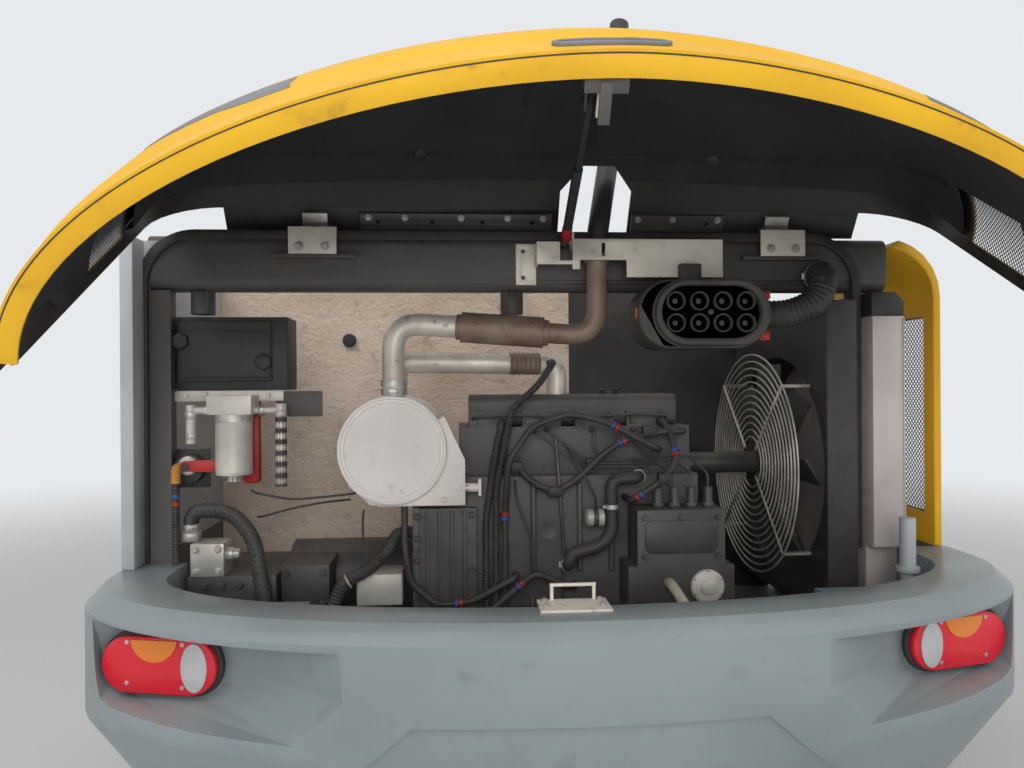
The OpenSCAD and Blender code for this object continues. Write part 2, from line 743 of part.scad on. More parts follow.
// Striker plate on the counterweight's edge with a standing loop
loop_x = [-63, 29];
loop_y = top_face + 34;
module latch_striker() at_flange() color(steel) {
  block([-95, top_face - 46, 0], [55, top_face + 40, 5]);
  for (x = loop_x) rod_z(x, loop_y, 4, 37, 4);
  rod_x(loop_x[0] - 4, loop_x[1] + 4, loop_y, 37, 4);
}

// Stay between the beam's bracket and the hood's roof

bracket_y = bay_y - 88;
bracket_plate = 6;
bracket_end = 455;
ear_x = [stay_x + 14, stay_x + 34];
module stay_bracket() at_flange() color(zinc) difference() {
  union() {
    block([-100, bay_y - bracket_plate, 745], [-44, bay_y, 858]);
    block([-50, bracket_y, 790], [-44, bay_y - bracket_plate + cut, 850]);
    block([-50, bracket_y, 790], [ear_x[1], bracket_y + bracket_plate, 850]);
    block([ear_x[0], bracket_y, 777], [ear_x[1], bracket_y + bracket_plate, 858]);
    block([ear_x[1], bracket_y, 756], [bracket_end, bracket_y + bracket_plate, 858]);
    block([bracket_end - bracket_plate, bracket_y, 756], [bracket_end, bay_y, 858]);
    block([stay_x + 14, bracket_y + 5, 834], [stay_x + 19, bay_y - 22, 876]);
    rod_x(stay_x - 10, stay_x + 15, stay_foot[1], stay_foot[2], stay_pin_d / 2);
  }
  for (z = [765, 838]) rod_y(-80, bay_y - 10, bay_y + 2, z, 6);
  block([stay_x - 20, bracket_y - cut, 800], [ear_x[0], bracket_y + bracket_plate + cut, 860]);
  block([ear_x[1], bracket_y - cut, 755], [192, bracket_y + bracket_plate + cut, 802]);
  block([124, bracket_y - cut, 812], [134, bracket_y + bracket_plate + cut, 848]);
}

function turn_open(p, angle) = let (y = p[1] - hinge_y, z = p[2] - hinge_z)
  [p[0], hinge_y + y * cos(angle) + z * sin(angle), hinge_z - y * sin(angle) + z * cos(angle)];
stay_head = turn_open(stay_head_shut, hood_open);
stay_vec = stay_head - stay_foot;
stay_length = norm(stay_vec);
stay_angle = atan2(stay_vec[2], -stay_vec[1]);
eye_r = 14;

// Local frame of the stay: z along it from foot to head
module along_stay() translate(stay_foot) rotate([90 - stay_angle, 0, 0]) children();

module stay_tube() at_flange() color(soot) along_stay() difference() {
  union() {
    translate([0, 0, 12]) cylinder(h = stay_tube_length, d = stay_tube_d, $fn = round_fn);
    rotate([0, 90, 0]) cylinder(h = 20, r = eye_r, center = true, $fn = round_fn);
  }
  rotate([0, 90, 0]) cylinder(h = 22, d = stay_pin_d + 2 * fit_gap, center = true, $fn = round_fn);
  translate([0, 0, 40]) cylinder(h = stay_tube_length, d = stay_rod_d + 2 * fit_gap, $fn = round_fn);
}

rod_start = 110;
module stay_rod() at_flange() color(soot) along_stay() {
  translate([0, 0, rod_start]) cylinder(h = stay_length - rod_start, d = stay_rod_d, $fn = round_fn);
  translate([0, 0, stay_length]) rotate([0, 90, 0])
    cylinder(h = 44, d = stay_pin_d, center = true, $fn = round_fn);
}

head_play_r = 22;
head_ear = [17, 34];
module stay_head_bracket() at_flange() opened() color(soot) difference() {
  for (e = [-1, 1]) translate([stay_x + e * head_ear[0], 0, stay_head_shut[2]])
    block([-3, 90, -head_ear[1]], [3, stay_head_shut[1] + head_ear[1], head_ear[1]]);
  hood_sheet(-80, skin + fit_gap);
  rod_x(stay_x - 30, stay_x + 30, stay_head_shut[1], stay_head_shut[2], head_play_r);
}

// Engine

block_ribs = [-60, 70, 160];
module engine_block() at_flange() color(cast_grey) {
  block([engine_left, engine_y, crank_z - 60], [engine_right, engine_y + engine_depth, block_top]);
  block([engine_left + 20, engine_y + 30, deck_z + foot_height],
    [engine_right - 20, engine_y + engine_depth - 30, crank_z - 60]);
  for (x = block_ribs) block([x, engine_y - 14, crank_z + 40], [x + 14, engine_y, block_top - 20]);
}

port_pitch = 150;
module cylinder_head() at_flange() color(cast_grey) {
  block([engine_left + 20, head_y, block_top], [engine_right - 20, engine_y + engine_depth - 40, head_top]);
  rounded_bar([engine_left + 50, engine_y + 50, head_top],
    [engine_right - 50, engine_y + engine_depth - 80, cover_top], 24);
  for (i = [0 : 3]) translate([engine_left + 50 + i * port_pitch, 0, 0])
    block([0, head_y + 2, head_top], [110, engine_y + 50, head_top + 44]);
}

bell_front = bay_y + 2;
module flywheel_housing() at_flange() color(cast_grey) {
  rod_x(bell_left, engine_left - fit_gap, engine_mid, crank_z, bell_r);
  block([bell_left, bell_front, -150], [engine_left - fit_gap, engine_y + 60, 130]);
  block([engine_left - 1, bell_front, -150], [engine_left + 66, engine_y - fit_gap, 130]);
  block([bell_left, bell_front - 8, -150], [bell_left + 16, engine_y + 60, 134]);
}

// Injection pump: upper body, governor housing below, delivery valves and the stop solenoid
valve_x = 283;
valve_y = engine_y - 70;
valve_top = 185;
module injection_pump() at_flange() color(soot) {
  block([215, engine_y - 120, -20], [455, engine_y - fit_gap, 130]);
  block([190, engine_y - 120, -135], [480, engine_y - fit_gap, -20]);
  for (i = [0 : 3]) rod_z(valve_x + i * valve_pitch, valve_y, 130, valve_top, 13);
  rod_x(92, 142, engine_y - 28, 98, 24);
  block([104, engine_y - 28, 86], [130, engine_y - fit_gap, 110]);
}

// Lines from the valves to the head. Columns: height along the clamp, then where the line turns up
line_r = 3.5;
line_y = engine_y - 12;
line_seat = head_y - fit_gap;
function line_start(i) = [[valve_x + i * valve_pitch, valve_y, valve_top + fit_gap],
  [valve_x + i * valve_pitch, valve_y, 222], [valve_x - 40 + i * valve_pitch, line_y, 238 + i * 9]];
line_ends = [
  [[100, line_y, 238], [52, line_y, 262], [-47, line_y, 340], [-47, line_seat, 340]],
  [[116, line_y, 247], [92, line_y, 256], [-12, line_y, 343], [-12, line_seat, 343]],
  [[140, line_y, 256], [118, line_y, 290], [118, line_y, 340], [118, line_seat, 340]],
  [[270, line_y, 265], [236, line_y, 300], [236, line_y, 340], [236, line_seat, 340]]];
module injection_lines() at_flange() color(steel) for (i = [0 : 3])
  route_tube(rounded_route(concat(line_start(i), line_ends[i]), 14, 2), line_r, 8);

module fan_drive() at_flange() color(soot) {
  rod_x(engine_right, fan_x - 30, fan_y, fan_z, 34);
  rod_x(fan_x - 30, shroud_x, fan_y, fan_z, shaft_r);
}

// Cooling

hub_r = 70;
blade_width = 90;
blade_pitch = 32;
module fan() at_flange() color(soot) translate([fan_x, fan_y, fan_z]) rotate([0, 90, 0]) difference() {
  union() {
    cylinder(h = 50, r = hub_r, center = true, $fn = round_fn);
    for (i = [0 : fan_blades - 1]) rotate([0, 0, i * 360 / fan_blades])
      translate([0, hub_r - 4, 0]) rotate([0, blade_pitch, 0]) translate([-blade_width / 2, 0, -3])
        cube([blade_width, fan_r - hub_r - 2, 6]);
  }
  cylinder(h = 60, r = shaft_r + 0.08, center = true, $fn = round_fn);
}

// Wire guard: rings, four spokes and four legs that stand on the shroud
guard_pitch = 22;
guard_x = fan_x - 60;
module fan_guard() at_flange() color(soot) translate([guard_x, fan_y, fan_z]) rotate([0, 90, 0]) {
  for (r = [guard_r : -guard_pitch : hub_r]) rotate_extrude($fn = round_fn) translate([r, 0])
    circle(guard_wire / 2, $fn = 16);
  for (i = [0 : 3]) rotate([0, 0, i * 90 + 45]) {
    translate([60, -4, -6]) cube([guard_r - 60, 8, 5]);
    translate([guard_r, 0, 0]) cylinder(h = shroud_x - guard_x - fit_gap, r = 6, $fn = round_fn);
  }
}

shroud_low = -200;
shroud_top = 700;
module fan_shroud() at_flange() color(soot) difference() {
  union() {
    block([shroud_x, radiator_y, shroud_low], [bay_right - move_gap, cooling_back, shroud_top]);
    block([bay_right - move_gap - cut, bay_y + 50, shroud_low],
      [radiator_x - fit_gap, cooling_back, shroud_top]);
  }
  rod_x(shroud_x - cut, radiator_x, fan_y, fan_z, fan_r + 14);
}

radiator_top = beam_z - move_gap - top_tank;
module radiator() at_flange() color(steel) {
  block([radiator_x, tail_front + 2, deck_z], [radiator_x + radiator_thick, cooling_back, radiator_top]);
  block([radiator_x, radiator_y, 6], [radiator_x + radiator_thick, tail_front + 3, radiator_top]);
}

tank_slope = 24;
module radiator_top_tank() at_flange() color(soot) translate([0, cooling_back, radiator_top + fit_gap])
  rotate([90, 0, 0]) linear_extrude(cooling_back - radiator_y) polygon([[radiator_x, 0],
    [radiator_x + radiator_thick, 0], [radiator_x + radiator_thick, top_tank - tank_slope],
    [radiator_x + radiator_thick - tank_slope, top_tank - fit_gap], [radiator_x, top_tank - fit_gap]]);

// Exhaust

silencer_at = [-440, 570, 295];
silencer_top = silencer_at[2] + silencer_r;
module silencer() at_flange() color("#cfc8c2")
  rod_y(silencer_at[0], silencer_at[1], silencer_at[1] + silencer_length, silencer_at[2], silencer_r);

// Plate behind the silencer's rim with two bent flanges and a stand-off on the engine block
shield_y = 590;
module silencer_bracket() at_flange() color("#c4bdb6") difference() {
  union() {
    translate([0, shield_y + 4, 0]) rotate([90, 0, 0]) linear_extrude(4)
      polygon([[-300, 385], [-244, 266], [-244, 146], [-500, 146], [-560, 200], [-400, 330]]);
    block([-248, shield_y, 156], [-244, shield_y + 44, 262]);
    block([-480, shield_y, 142], [-244, shield_y + 44, 146.5]);
    rod_x(-246, -205, shield_y + 16, 188, 12);
    block([-208, shield_y + 4, 166], [-200, engine_y - fit_gap, 212]);
  }
  rod_y(silencer_at[0], shield_y - cut, shield_y + 60, silencer_at[2], silencer_r + fit_gap);
}

// Outlet pipe, up and over to the riser, and inlet pipe from the head
outlet_route = [[-440, 640, silencer_top + fit_gap], [-440, 640, 644], [118, 566, 600], [118, 566, 812]];
inlet_route = [[-438, 735, silencer_top + fit_gap], [-438, 735, 536], [30, 760, 530],
  [30, 760, cover_top + fit_gap]];
outlet_dir = unit(outlet_route[2] - outlet_route[1]);
module exhaust_pipes() at_flange() color(heat_brown) {
  route_tube(rounded_route(outlet_route, 80, 6), pipe_r, 12);
  rod_z(118, 566, 800, 812, pipe_r + 6);
  route_tube(rounded_route(inlet_route, 60, 5), pipe_r + 2, 12);
}

// Ribbed flexible sleeve round the outlet pipe
sleeve_length = 230;
sleeve_start = outlet_route[1] + outlet_dir * 190;
rib_depth = 3;
function sleeve_edge() = [for (i = [0 : sleeve_ribs - 1]) let (pitch = sleeve_length / sleeve_ribs)
  each [[sleeve_r, (i + 0.25) * pitch], [sleeve_r - rib_depth, (i + 0.75) * pitch]]];
module exhaust_sleeve() at_flange() color(heat_brown) translate(sleeve_start)
  rotate([0, acos(outlet_dir[2]), atan2(outlet_dir[1], outlet_dir[0])]) rotate_extrude($fn = round_fn)
    polygon(concat([[pipe_r + fit_gap, 0]], sleeve_edge(), [[pipe_r + fit_gap, sleeve_length]]));

stack_r = 29;
stack_route = [[118, 566, 812 + fit_gap], [118, 566, 860], [127, 570, 915], [170, 650, 1110], [235, 800, 1560]];
module exhaust_stack() at_flange() color(soot) route_tube(stack_route, stack_r, 12);

// Air intake

cleaner_at = [379, 604, 651];
bezel_at = [399, 452, 653];
recess_at = [395, 430, 655];
cyclone_pitch = [62, 57];
bezel_depth = 22;
bezel_size = [303, 170];
recess_size = [263, 137];

// Oval housing with a narrower bezel in front and a recess for the tubes
module air_precleaner() at_flange() color(soot) difference() {
  union() {
    translate(cleaner_at) rotate([90, 0, 0]) linear_extrude(cleaner_at[1] - bezel_at[1])
      oval(cleaner_width, cleaner_height);
    translate(bezel_at) rotate([90, 0, 0]) linear_extrude(bezel_depth) oval(bezel_size[0], bezel_size[1]);
    block([330, 500, 730], [390, bracket_y - fit_gap, 790]);
  }
  translate([recess_at[0], recess_at[1] + cyclone_depth, recess_at[2]]) rotate([90, 0, 0])
    linear_extrude(cyclone_depth + cut) oval(recess_size[0], recess_size[1]);
}

// Eight cyclone tubes with vanes, and the knob in the middle, standing on the recess's floor
vane_count = 6;
module cyclone_tube() {
  difference() {
    cylinder(h = cyclone_depth - 8, r = cyclone_r, $fn = round_fn);
    translate([0, 0, 12]) cylinder(h = cyclone_depth, r = cyclone_r - 3, $fn = round_fn);
  }
  cylinder(h = cyclone_depth - 22, r = 7, $fn = round_fn);
  for (i = [0 : vane_count - 1]) rotate([0, 0, i * 360 / vane_count])
    translate([5, -1.2, 4]) cube([cyclone_r - 6, 2.4, cyclone_depth - 30]);
}
module cyclone_tubes() at_flange() color(soot)
  translate([recess_at[0], recess_at[1] + cyclone_depth - fit_gap, recess_at[2]]) rotate([90, 0, 0]) {
    for (column = [-1.5 : 1.5], row = [-0.5, 0.5])
      translate([column * cyclone_pitch[0], row * cyclone_pitch[1], 0]) cyclone_tube();
    cylinder(h = cyclone_depth - 14, r = 7, $fn = round_fn);
  }

hose_start = cleaner_at[0] + cleaner_width / 2 + fit_gap;
intake_route = [[hose_start, 530, 655], [640, 530, 655], [722, 530, 690], [750, 536, 768],
  [750, bay_y - fit_gap, 768]];
module intake_hose() at_flange() color(rubber) route_tube(rounded_route(intake_route, 60), intake_r, 14);

// Equipment on the left wall

module relay_box() at_flange() color(soot) {
  block([-wall_x + wall_plate + fit_gap, 700, 480], [-bay_left + 8, 706, 640]);
  block([-bay_left + 4, engine_y, 460], [-bay_left + 302, 760, beam_z - stub_length - 8]);
}

filter_at = [-bay_left + 168, 600];
bowl_r = 47;
module fuel_filter() at_flange() color(steel) {
  block([-bay_left + fit_gap, engine_y, 430], [filter_at[0] + 122, engine_y + 6, 458]);
  block([filter_at[0] - 58, 556, 396], [filter_at[0] + 56, engine_y, 446]);
  rod_z(filter_at[0], filter_at[1], 235, 396, bowl_r);
  rod_z(filter_at[0], filter_at[1], 215, 235, 18);
  rod_x(filter_at[0] - 112, filter_at[0] - 56, filter_at[1], 406, 10);
  rod_z(filter_at[0] - 112, filter_at[1], 318, 421, 13);
  rod_x(filter_at[0] + 54, filter_at[0] + 124, filter_at[1], 406, 10);
  rod_z(filter_at[0] + 124, filter_at[1], 200, 423, 15);
}

isolator_at = [-bay_left + 46, 250];
module battery_isolator() at_flange() color(soot) {
  block([-bay_left + fit_gap, engine_y, 196], [isolator_at[0] + 46, engine_y + 6, 300]);
  rod_y(isolator_at[0], 606, engine_y, isolator_at[1], 38);
  rod_y(isolator_at[0], 580, 606, isolator_at[1] + 8, 11);
  block([isolator_at[0], 586, isolator_at[1]], [isolator_at[0] + 70, 594, isolator_at[1] + 16]);
}

// Hydraulics

pump_r = 110;
head_block_z = -30;
module hydraulic_pump() at_flange() color(soot) {
  rod_x(-745, bell_left, engine_mid, crank_z, pump_r);
  block([-bay_left + 57, 560, -130], [-745, 860, head_block_z]);
  block([-bay_left + 67, 602, deck_z], [-935, 820, -130]);
  block([-735, 578, -135], [-610, 740, -10]);
}

cube_at = [-bay_left + 64, 562, head_block_z];
cube_size = 86;
module hydraulic_block() at_flange() color(steel) {
  block(cube_at, cube_at + [cube_size, cube_size, cube_size]);
  rod_x(cube_at[0] + cube_size, -862, 596, 22, 16);
  rod_x(cube_at[0] + cube_size, -880, 590, -10, 9);
}

pressure_route = [[-978, 604, head_block_z + cube_size + fit_gap], [-978, 604, 138], [-872, 598, 138],
  [-800, 560, 72], [-775, 530, -40], [-756, 525, -160], [-756, 525, deck_z + fit_gap]];
module pressure_hose() at_flange() color(rubber) route_tube(rounded_route(pressure_route, 60), 22);

module steering_pump() at_flange() color(steel) difference() {
  block([-540, 596, -128], [-416, engine_y + 62, -42]);
  rod_x(-541, -415, engine_mid, crank_z, pump_r + fit_gap);
}

return_route = [[-604, 556, deck_z + fit_gap], [-604, 556, -140], [-574, 560, -52], [-500, 572, -24],
  [-450, 600, 26], [-432, 650, 60], [bell_left - fit_gap, 650, 60]];
module return_hose() at_flange() color(rubber) route_tube(rounded_route(return_route, 40), 18);

drain_route = [[300, 519.7, -64], [300, 480, -64], [344, 450, -140], [344, 450, deck_z + fit_gap]];
module drain_pipe() at_flange() color(steel) {
  route_tube(rounded_route(drain_route, 30), 14);
}

overflow_at = [bay_right + leg_width + 35, 440];
module overflow_pipe() at_flange() color(light_grey) {
  rod_z(overflow_at[0], overflow_at[1], deck_z + fit_gap, 112, 20);
  rod_z(overflow_at[0], overflow_at[1], -30, -16, 30);
}

// Hoses and wiring. The routes are points chosen by hand

conduit_y = engine_y - 12;
conduit_routes = [
  [[-187, conduit_y, deck_z + fit_gap], [-187, conduit_y, 100], [-156, conduit_y, 300],
    [-141, conduit_y, head_top + 12], [-141, head_y + 2 - fit_gap, head_top + 12]],
  [[-162, conduit_y - 3, deck_z + fit_gap], [-158, conduit_y - 3, 180], [-112, conduit_y - 10, 410],
    [-46, conduit_y - 10, 458], [6, conduit_y, 532], [6, 728, 532]],
  [[isolator_at[0] - 24, 606 - fit_gap, 254], [isolator_at[0] - 24, 580, 254],
    [isolator_at[0] - 24, 580, fit_gap]]];
conduit_r = 10;
module wiring_conduits() at_flange() color(rubber)
  for (route = conduit_routes) route_tube(rounded_route(route, 40), conduit_r, 8);

// Harness loops in three layers, so that they pass in front of each other
loop_back = engine_y - 36;
loop_front = engine_y - 58;
harness_routes = [
  [[-136, conduit_y - 4, deck_z + fit_gap], [-134, conduit_y - 6, 120], [-126, loop_front, 262],
    [-60, loop_front, 356], [40, loop_front, 390], [140, loop_front, 368], [215, loop_front, 328],
    [276, loop_front, 296], [300, loop_back, 286], [300, line_seat, 286]],
  [[-100, line_seat, 244], [-100, loop_back, 244], [-56, loop_back, 196], [5, loop_back, 171],
    [61, loop_back, 202], [141, loop_back, 277], [197, loop_back, 313], [301, loop_back, 336],
    [372, loop_back, 336], [372, line_seat, 336]],
  [[312, head_y + 2 - fit_gap, head_top + 12], [312, engine_y - 6, head_top + 12],
     [326, engine_y - 40, 340], [336, 562, 262],
    [292, 536, 212], [250, 534, 184], [205, 546, 152], [205, engine_y - fit_gap, 152]],
  [[-410, 612, 142 - fit_gap], [-410, 612, 100], [-410, 600, 60], [-405, 585, 0],
    [-391, 590, -70], [-322, 588, -128], [-227, 590, -121], [-104, 606, -62],
    [-104, engine_y - fit_gap, -62]],
  [[-236, 562, deck_z + fit_gap], [-236, 562, -190], [-150, 574, -120], [-54, 590, -46], [4, 594, -72],
    [60, 604, -92], [60, engine_y - fit_gap, -92]]];
module engine_harness() at_flange() color(rubber)
  for (route = harness_routes) route_tube(rounded_route(route, 26, 3), 9, 8);

coolant_route = [[240, engine_y - fit_gap, 210], [240, engine_y - 42, 210], [160, engine_y - 42, 205],
  [163, engine_y - 42, 60], [128, engine_y - 42, 20], [48, engine_y - 42, 2], [40, engine_y - 42, -32],
  [40, engine_y - fit_gap, -32]];
module coolant_hose() at_flange() color(rubber) route_tube(rounded_route(coolant_route, 30), 18);

counterweight();
tail_frame();
left_post();
left_side_wall();
right_side_panel();
right_side_grille();
bay_frame();
bay_seal();
firewall();
left_lamp_seat();
right_lamp_seat();
left_tail_lamp();
right_tail_lamp();
hood_shell();
hood_lining();
hood_side_grilles();
hood_grip();
hood_front_bars();
hood_hinge_bases();
hood_hinge_leaves();
hood_latch();
latch_striker();
stay_bracket();
stay_tube();
stay_rod();
stay_head_bracket();
engine_block();
cylinder_head();
flywheel_housing();
injection_pump();
injection_lines();
fan_drive();
fan();
fan_guard();
fan_shroud();
radiator();
radiator_top_tank();
silencer();
silencer_bracket();
exhaust_pipes();
exhaust_sleeve();
exhaust_stack();
air_precleaner();
cyclone_tubes();
intake_hose();
relay_box();
fuel_filter();
battery_isolator();
hydraulic_pump();
hydraulic_block();
pressure_hose();
return_hose();
steering_pump();
drain_pipe();
overflow_pipe();
wiring_conduits();
engine_harness();
coolant_hose();
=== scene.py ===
"""Looks of an engine bay tail section of a wheeled excavator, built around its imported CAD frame.

Sizes named in millimetres are those of the construction drawing: x from the middle plane, y forward
from the rearmost point of the counterweight, z up from the counterweight's top face.
"""

import logging
import math
from contextlib import contextmanager
from dataclasses import dataclass
from enum import Enum
from typing import Any, Callable, Iterable, Iterator, Sequence

import bpy
from mathutils import Matrix, Vector, noise

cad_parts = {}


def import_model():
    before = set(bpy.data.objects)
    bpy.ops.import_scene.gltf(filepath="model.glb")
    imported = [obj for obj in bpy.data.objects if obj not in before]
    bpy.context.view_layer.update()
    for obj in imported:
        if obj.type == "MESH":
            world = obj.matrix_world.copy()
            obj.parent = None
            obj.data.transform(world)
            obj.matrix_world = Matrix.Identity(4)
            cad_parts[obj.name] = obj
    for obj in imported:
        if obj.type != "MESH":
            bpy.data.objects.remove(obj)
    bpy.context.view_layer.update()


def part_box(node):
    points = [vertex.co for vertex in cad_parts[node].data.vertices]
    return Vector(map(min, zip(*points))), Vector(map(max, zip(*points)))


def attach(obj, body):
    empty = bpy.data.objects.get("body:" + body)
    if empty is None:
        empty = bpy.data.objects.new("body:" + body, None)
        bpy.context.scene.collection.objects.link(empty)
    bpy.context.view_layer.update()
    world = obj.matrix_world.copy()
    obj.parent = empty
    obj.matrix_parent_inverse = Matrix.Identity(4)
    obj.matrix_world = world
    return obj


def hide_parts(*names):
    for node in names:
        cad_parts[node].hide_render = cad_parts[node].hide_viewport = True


Point = Sequence[float]
Colour = tuple[float, float, float]
Obj = bpy.types.Object
LOG = logging.getLogger("engine_bay")
DRAWING_ORIGIN = (0.0, 1345.0, -350.0)
UP, DOWN = (0, 0, 1), (0, 0, -1)
FORWARD, BACK = (0, 1, 0), (0, -1, 0)
ACROSS = (1, 0, 0)
EDGE_ANGLE = math.radians(32)
FLAT_ANGLE = math.radians(0.6)
WELD = 0.00002
# Height and radius of a bolt's parts as shares of its size
BOLT_HEAD = ((0.2, 1), (0.95, 1), (1.1, 0.8))
BOLT_WASHER = ((0, 1.35), (0.25, 1.35))


def at(x: float, y: float, z: float) -> Vector:
    """Point in the frame's metres from the drawing's millimetres."""
    return Vector((x, y - DRAWING_ORIGIN[1], z - DRAWING_ORIGIN[2])) / 1000


def drawn(point: Point) -> tuple[float, ...]:
    """Point in the drawing's millimetres from the frame's metres."""
    return tuple(value * 1000 + origin for value, origin in zip(point, DRAWING_ORIGIN))


# Finishes


class Sock:
    """A shader socket that takes part in Python expressions."""

    def __init__(self, tree: bpy.types.NodeTree, out: bpy.types.NodeSocket) -> None:
        """Wraps one output socket.

        Args:
            tree: The material's node tree.
            out: The output to wrap.
        """
        self.tree = tree
        self.out = out

    def _math(self, operation: str, *values: Any) -> "Sock":
        """Adds one Math node and returns its result."""
        node = self.tree.nodes.new("ShaderNodeMath")
        node.operation = operation
        for socket, value in zip(node.inputs, values):
            if isinstance(value, Sock):
                self.tree.links.new(value.out, socket)
            else:
                socket.default_value = value
        return Sock(self.tree, node.outputs[0])

    def __add__(self, other: Any) -> "Sock":
        """Sum."""
        return self._math("ADD", self, other)

    __radd__ = __add__

    def __rsub__(self, other: Any) -> "Sock":
        """Reflected difference."""
        return self._math("SUBTRACT", other, self)

    def __mul__(self, other: Any) -> "Sock":
        """Product."""
        return self._math("MULTIPLY", self, other)

    __rmul__ = __mul__

    def ramp(self, low: float, high: float) -> "Sock":
        """Rises from 0 at low to 1 at high and stays within them."""
        node = self.tree.nodes.new("ShaderNodeMapRange")
        node.interpolation_type = "SMOOTHSTEP"
        self.tree.links.new(self.out, node.inputs["Value"])
        node.inputs["From Min"].default_value = low
        node.inputs["From Max"].default_value = high
        return Sock(self.tree, node.outputs[0])


class Painter:
    """Builds one node material around a Principled shader."""

    def __init__(self, name: str) -> None:
        """Starts an empty material.

        Args:
            name: The material's name.
        """
        self.material = bpy.data.materials.new(name)
        self.material.use_nodes = True
        self.tree = self.material.node_tree
        self.shader = self.tree.nodes["Principled BSDF"]
        self.place = self.node("ShaderNodeTexCoord").get("Object")

    def node(self, kind: str, settings: dict[str, Any] | None = None,
             inputs: dict[str, Any] | None = None) -> dict[str, Sock]:
        """Adds any node.

        Args:
            kind: The node's type.
            settings: Properties that are set first.
            inputs: Values or sockets for its inputs, by name or number.

        Returns:
            The node's outputs by name.
        """
        node = self.tree.nodes.new(kind)
        for key, value in (settings or {}).items():
            setattr(node, key, value)
        for key, value in (inputs or {}).items():
            socket = node.inputs[key]
            if isinstance(value, Sock):
                self.tree.links.new(value.out, socket)
            else:
                socket.default_value = value
        return {out.name: Sock(self.tree, out) for out in node.outputs if out.enabled}

    def noise(self, scale: float, detail: float = 3.0, stretch: Point = (1, 1, 1)) -> Sock:
        """Noise over the piece's own coordinates.

        Args:
            scale: Waves per metre.
            detail: Octaves.
            stretch: Scale along each axis.

        Returns:
            Its value, around 0.5.
        """
        place = self.place
        if tuple(stretch) != (1, 1, 1):
            place = self.node("ShaderNodeMapping", {}, {"Vector": place, "Scale": stretch})["Vector"]
        inputs = {"Vector": place, "Scale": scale, "Detail": detail}
        return self.node("ShaderNodeTexNoise", {}, inputs)["Fac"]

    def up(self) -> Sock:
        """How far the surface faces up, from 0 to 1."""
        normal = self.node("ShaderNodeNewGeometry")["Normal"]
        return self.node("ShaderNodeSeparateXYZ", {}, {0: normal})["Z"].ramp(0.35, 0.95)

    def mix(self, mask: Sock, first: Any, second: Any) -> Sock:
        """Mixes two colours by a mask."""
        colours = [c if isinstance(c, Sock) else (*c, 1.0) for c in (first, second)]
        node = self.tree.nodes.new("ShaderNodeMix")
        node.data_type = "RGBA"
        for index, value in zip((0, 6, 7), (mask, *colours)):
            if isinstance(value, Sock):
                self.tree.links.new(value.out, node.inputs[index])
            else:
                node.inputs[index].default_value = value
        return Sock(self.tree, node.outputs[2])

    def bump(self, height: Sock, strength: float, distance: float) -> None:
        """Feeds a height into the shader's normal."""
        inputs = {"Height": height, "Strength": strength, "Distance": distance}
        self.feed("Normal", self.node("ShaderNodeBump", {}, inputs)["Normal"])

    def feed(self, socket: str, value: Any) -> None:
        """Sets or links one of the shader's sockets."""
        if isinstance(value, Sock):
            self.tree.links.new(value.out, self.shader.inputs[socket])
        elif socket == "Base Color":
            self.shader.inputs[socket].default_value = (*value, 1.0)
        else:
            self.shader.inputs[socket].default_value = value


BUMP, FOIL_BUMP = 0.0015, 0.004


class Relief(Enum):
    """Kinds of surface relief."""

    FINE = "fine"
    CAST = "cast"
    FOIL = "foil"
    FOAM = "foam"
    BRUSHED = "brushed"
    RIBBED = "ribbed"


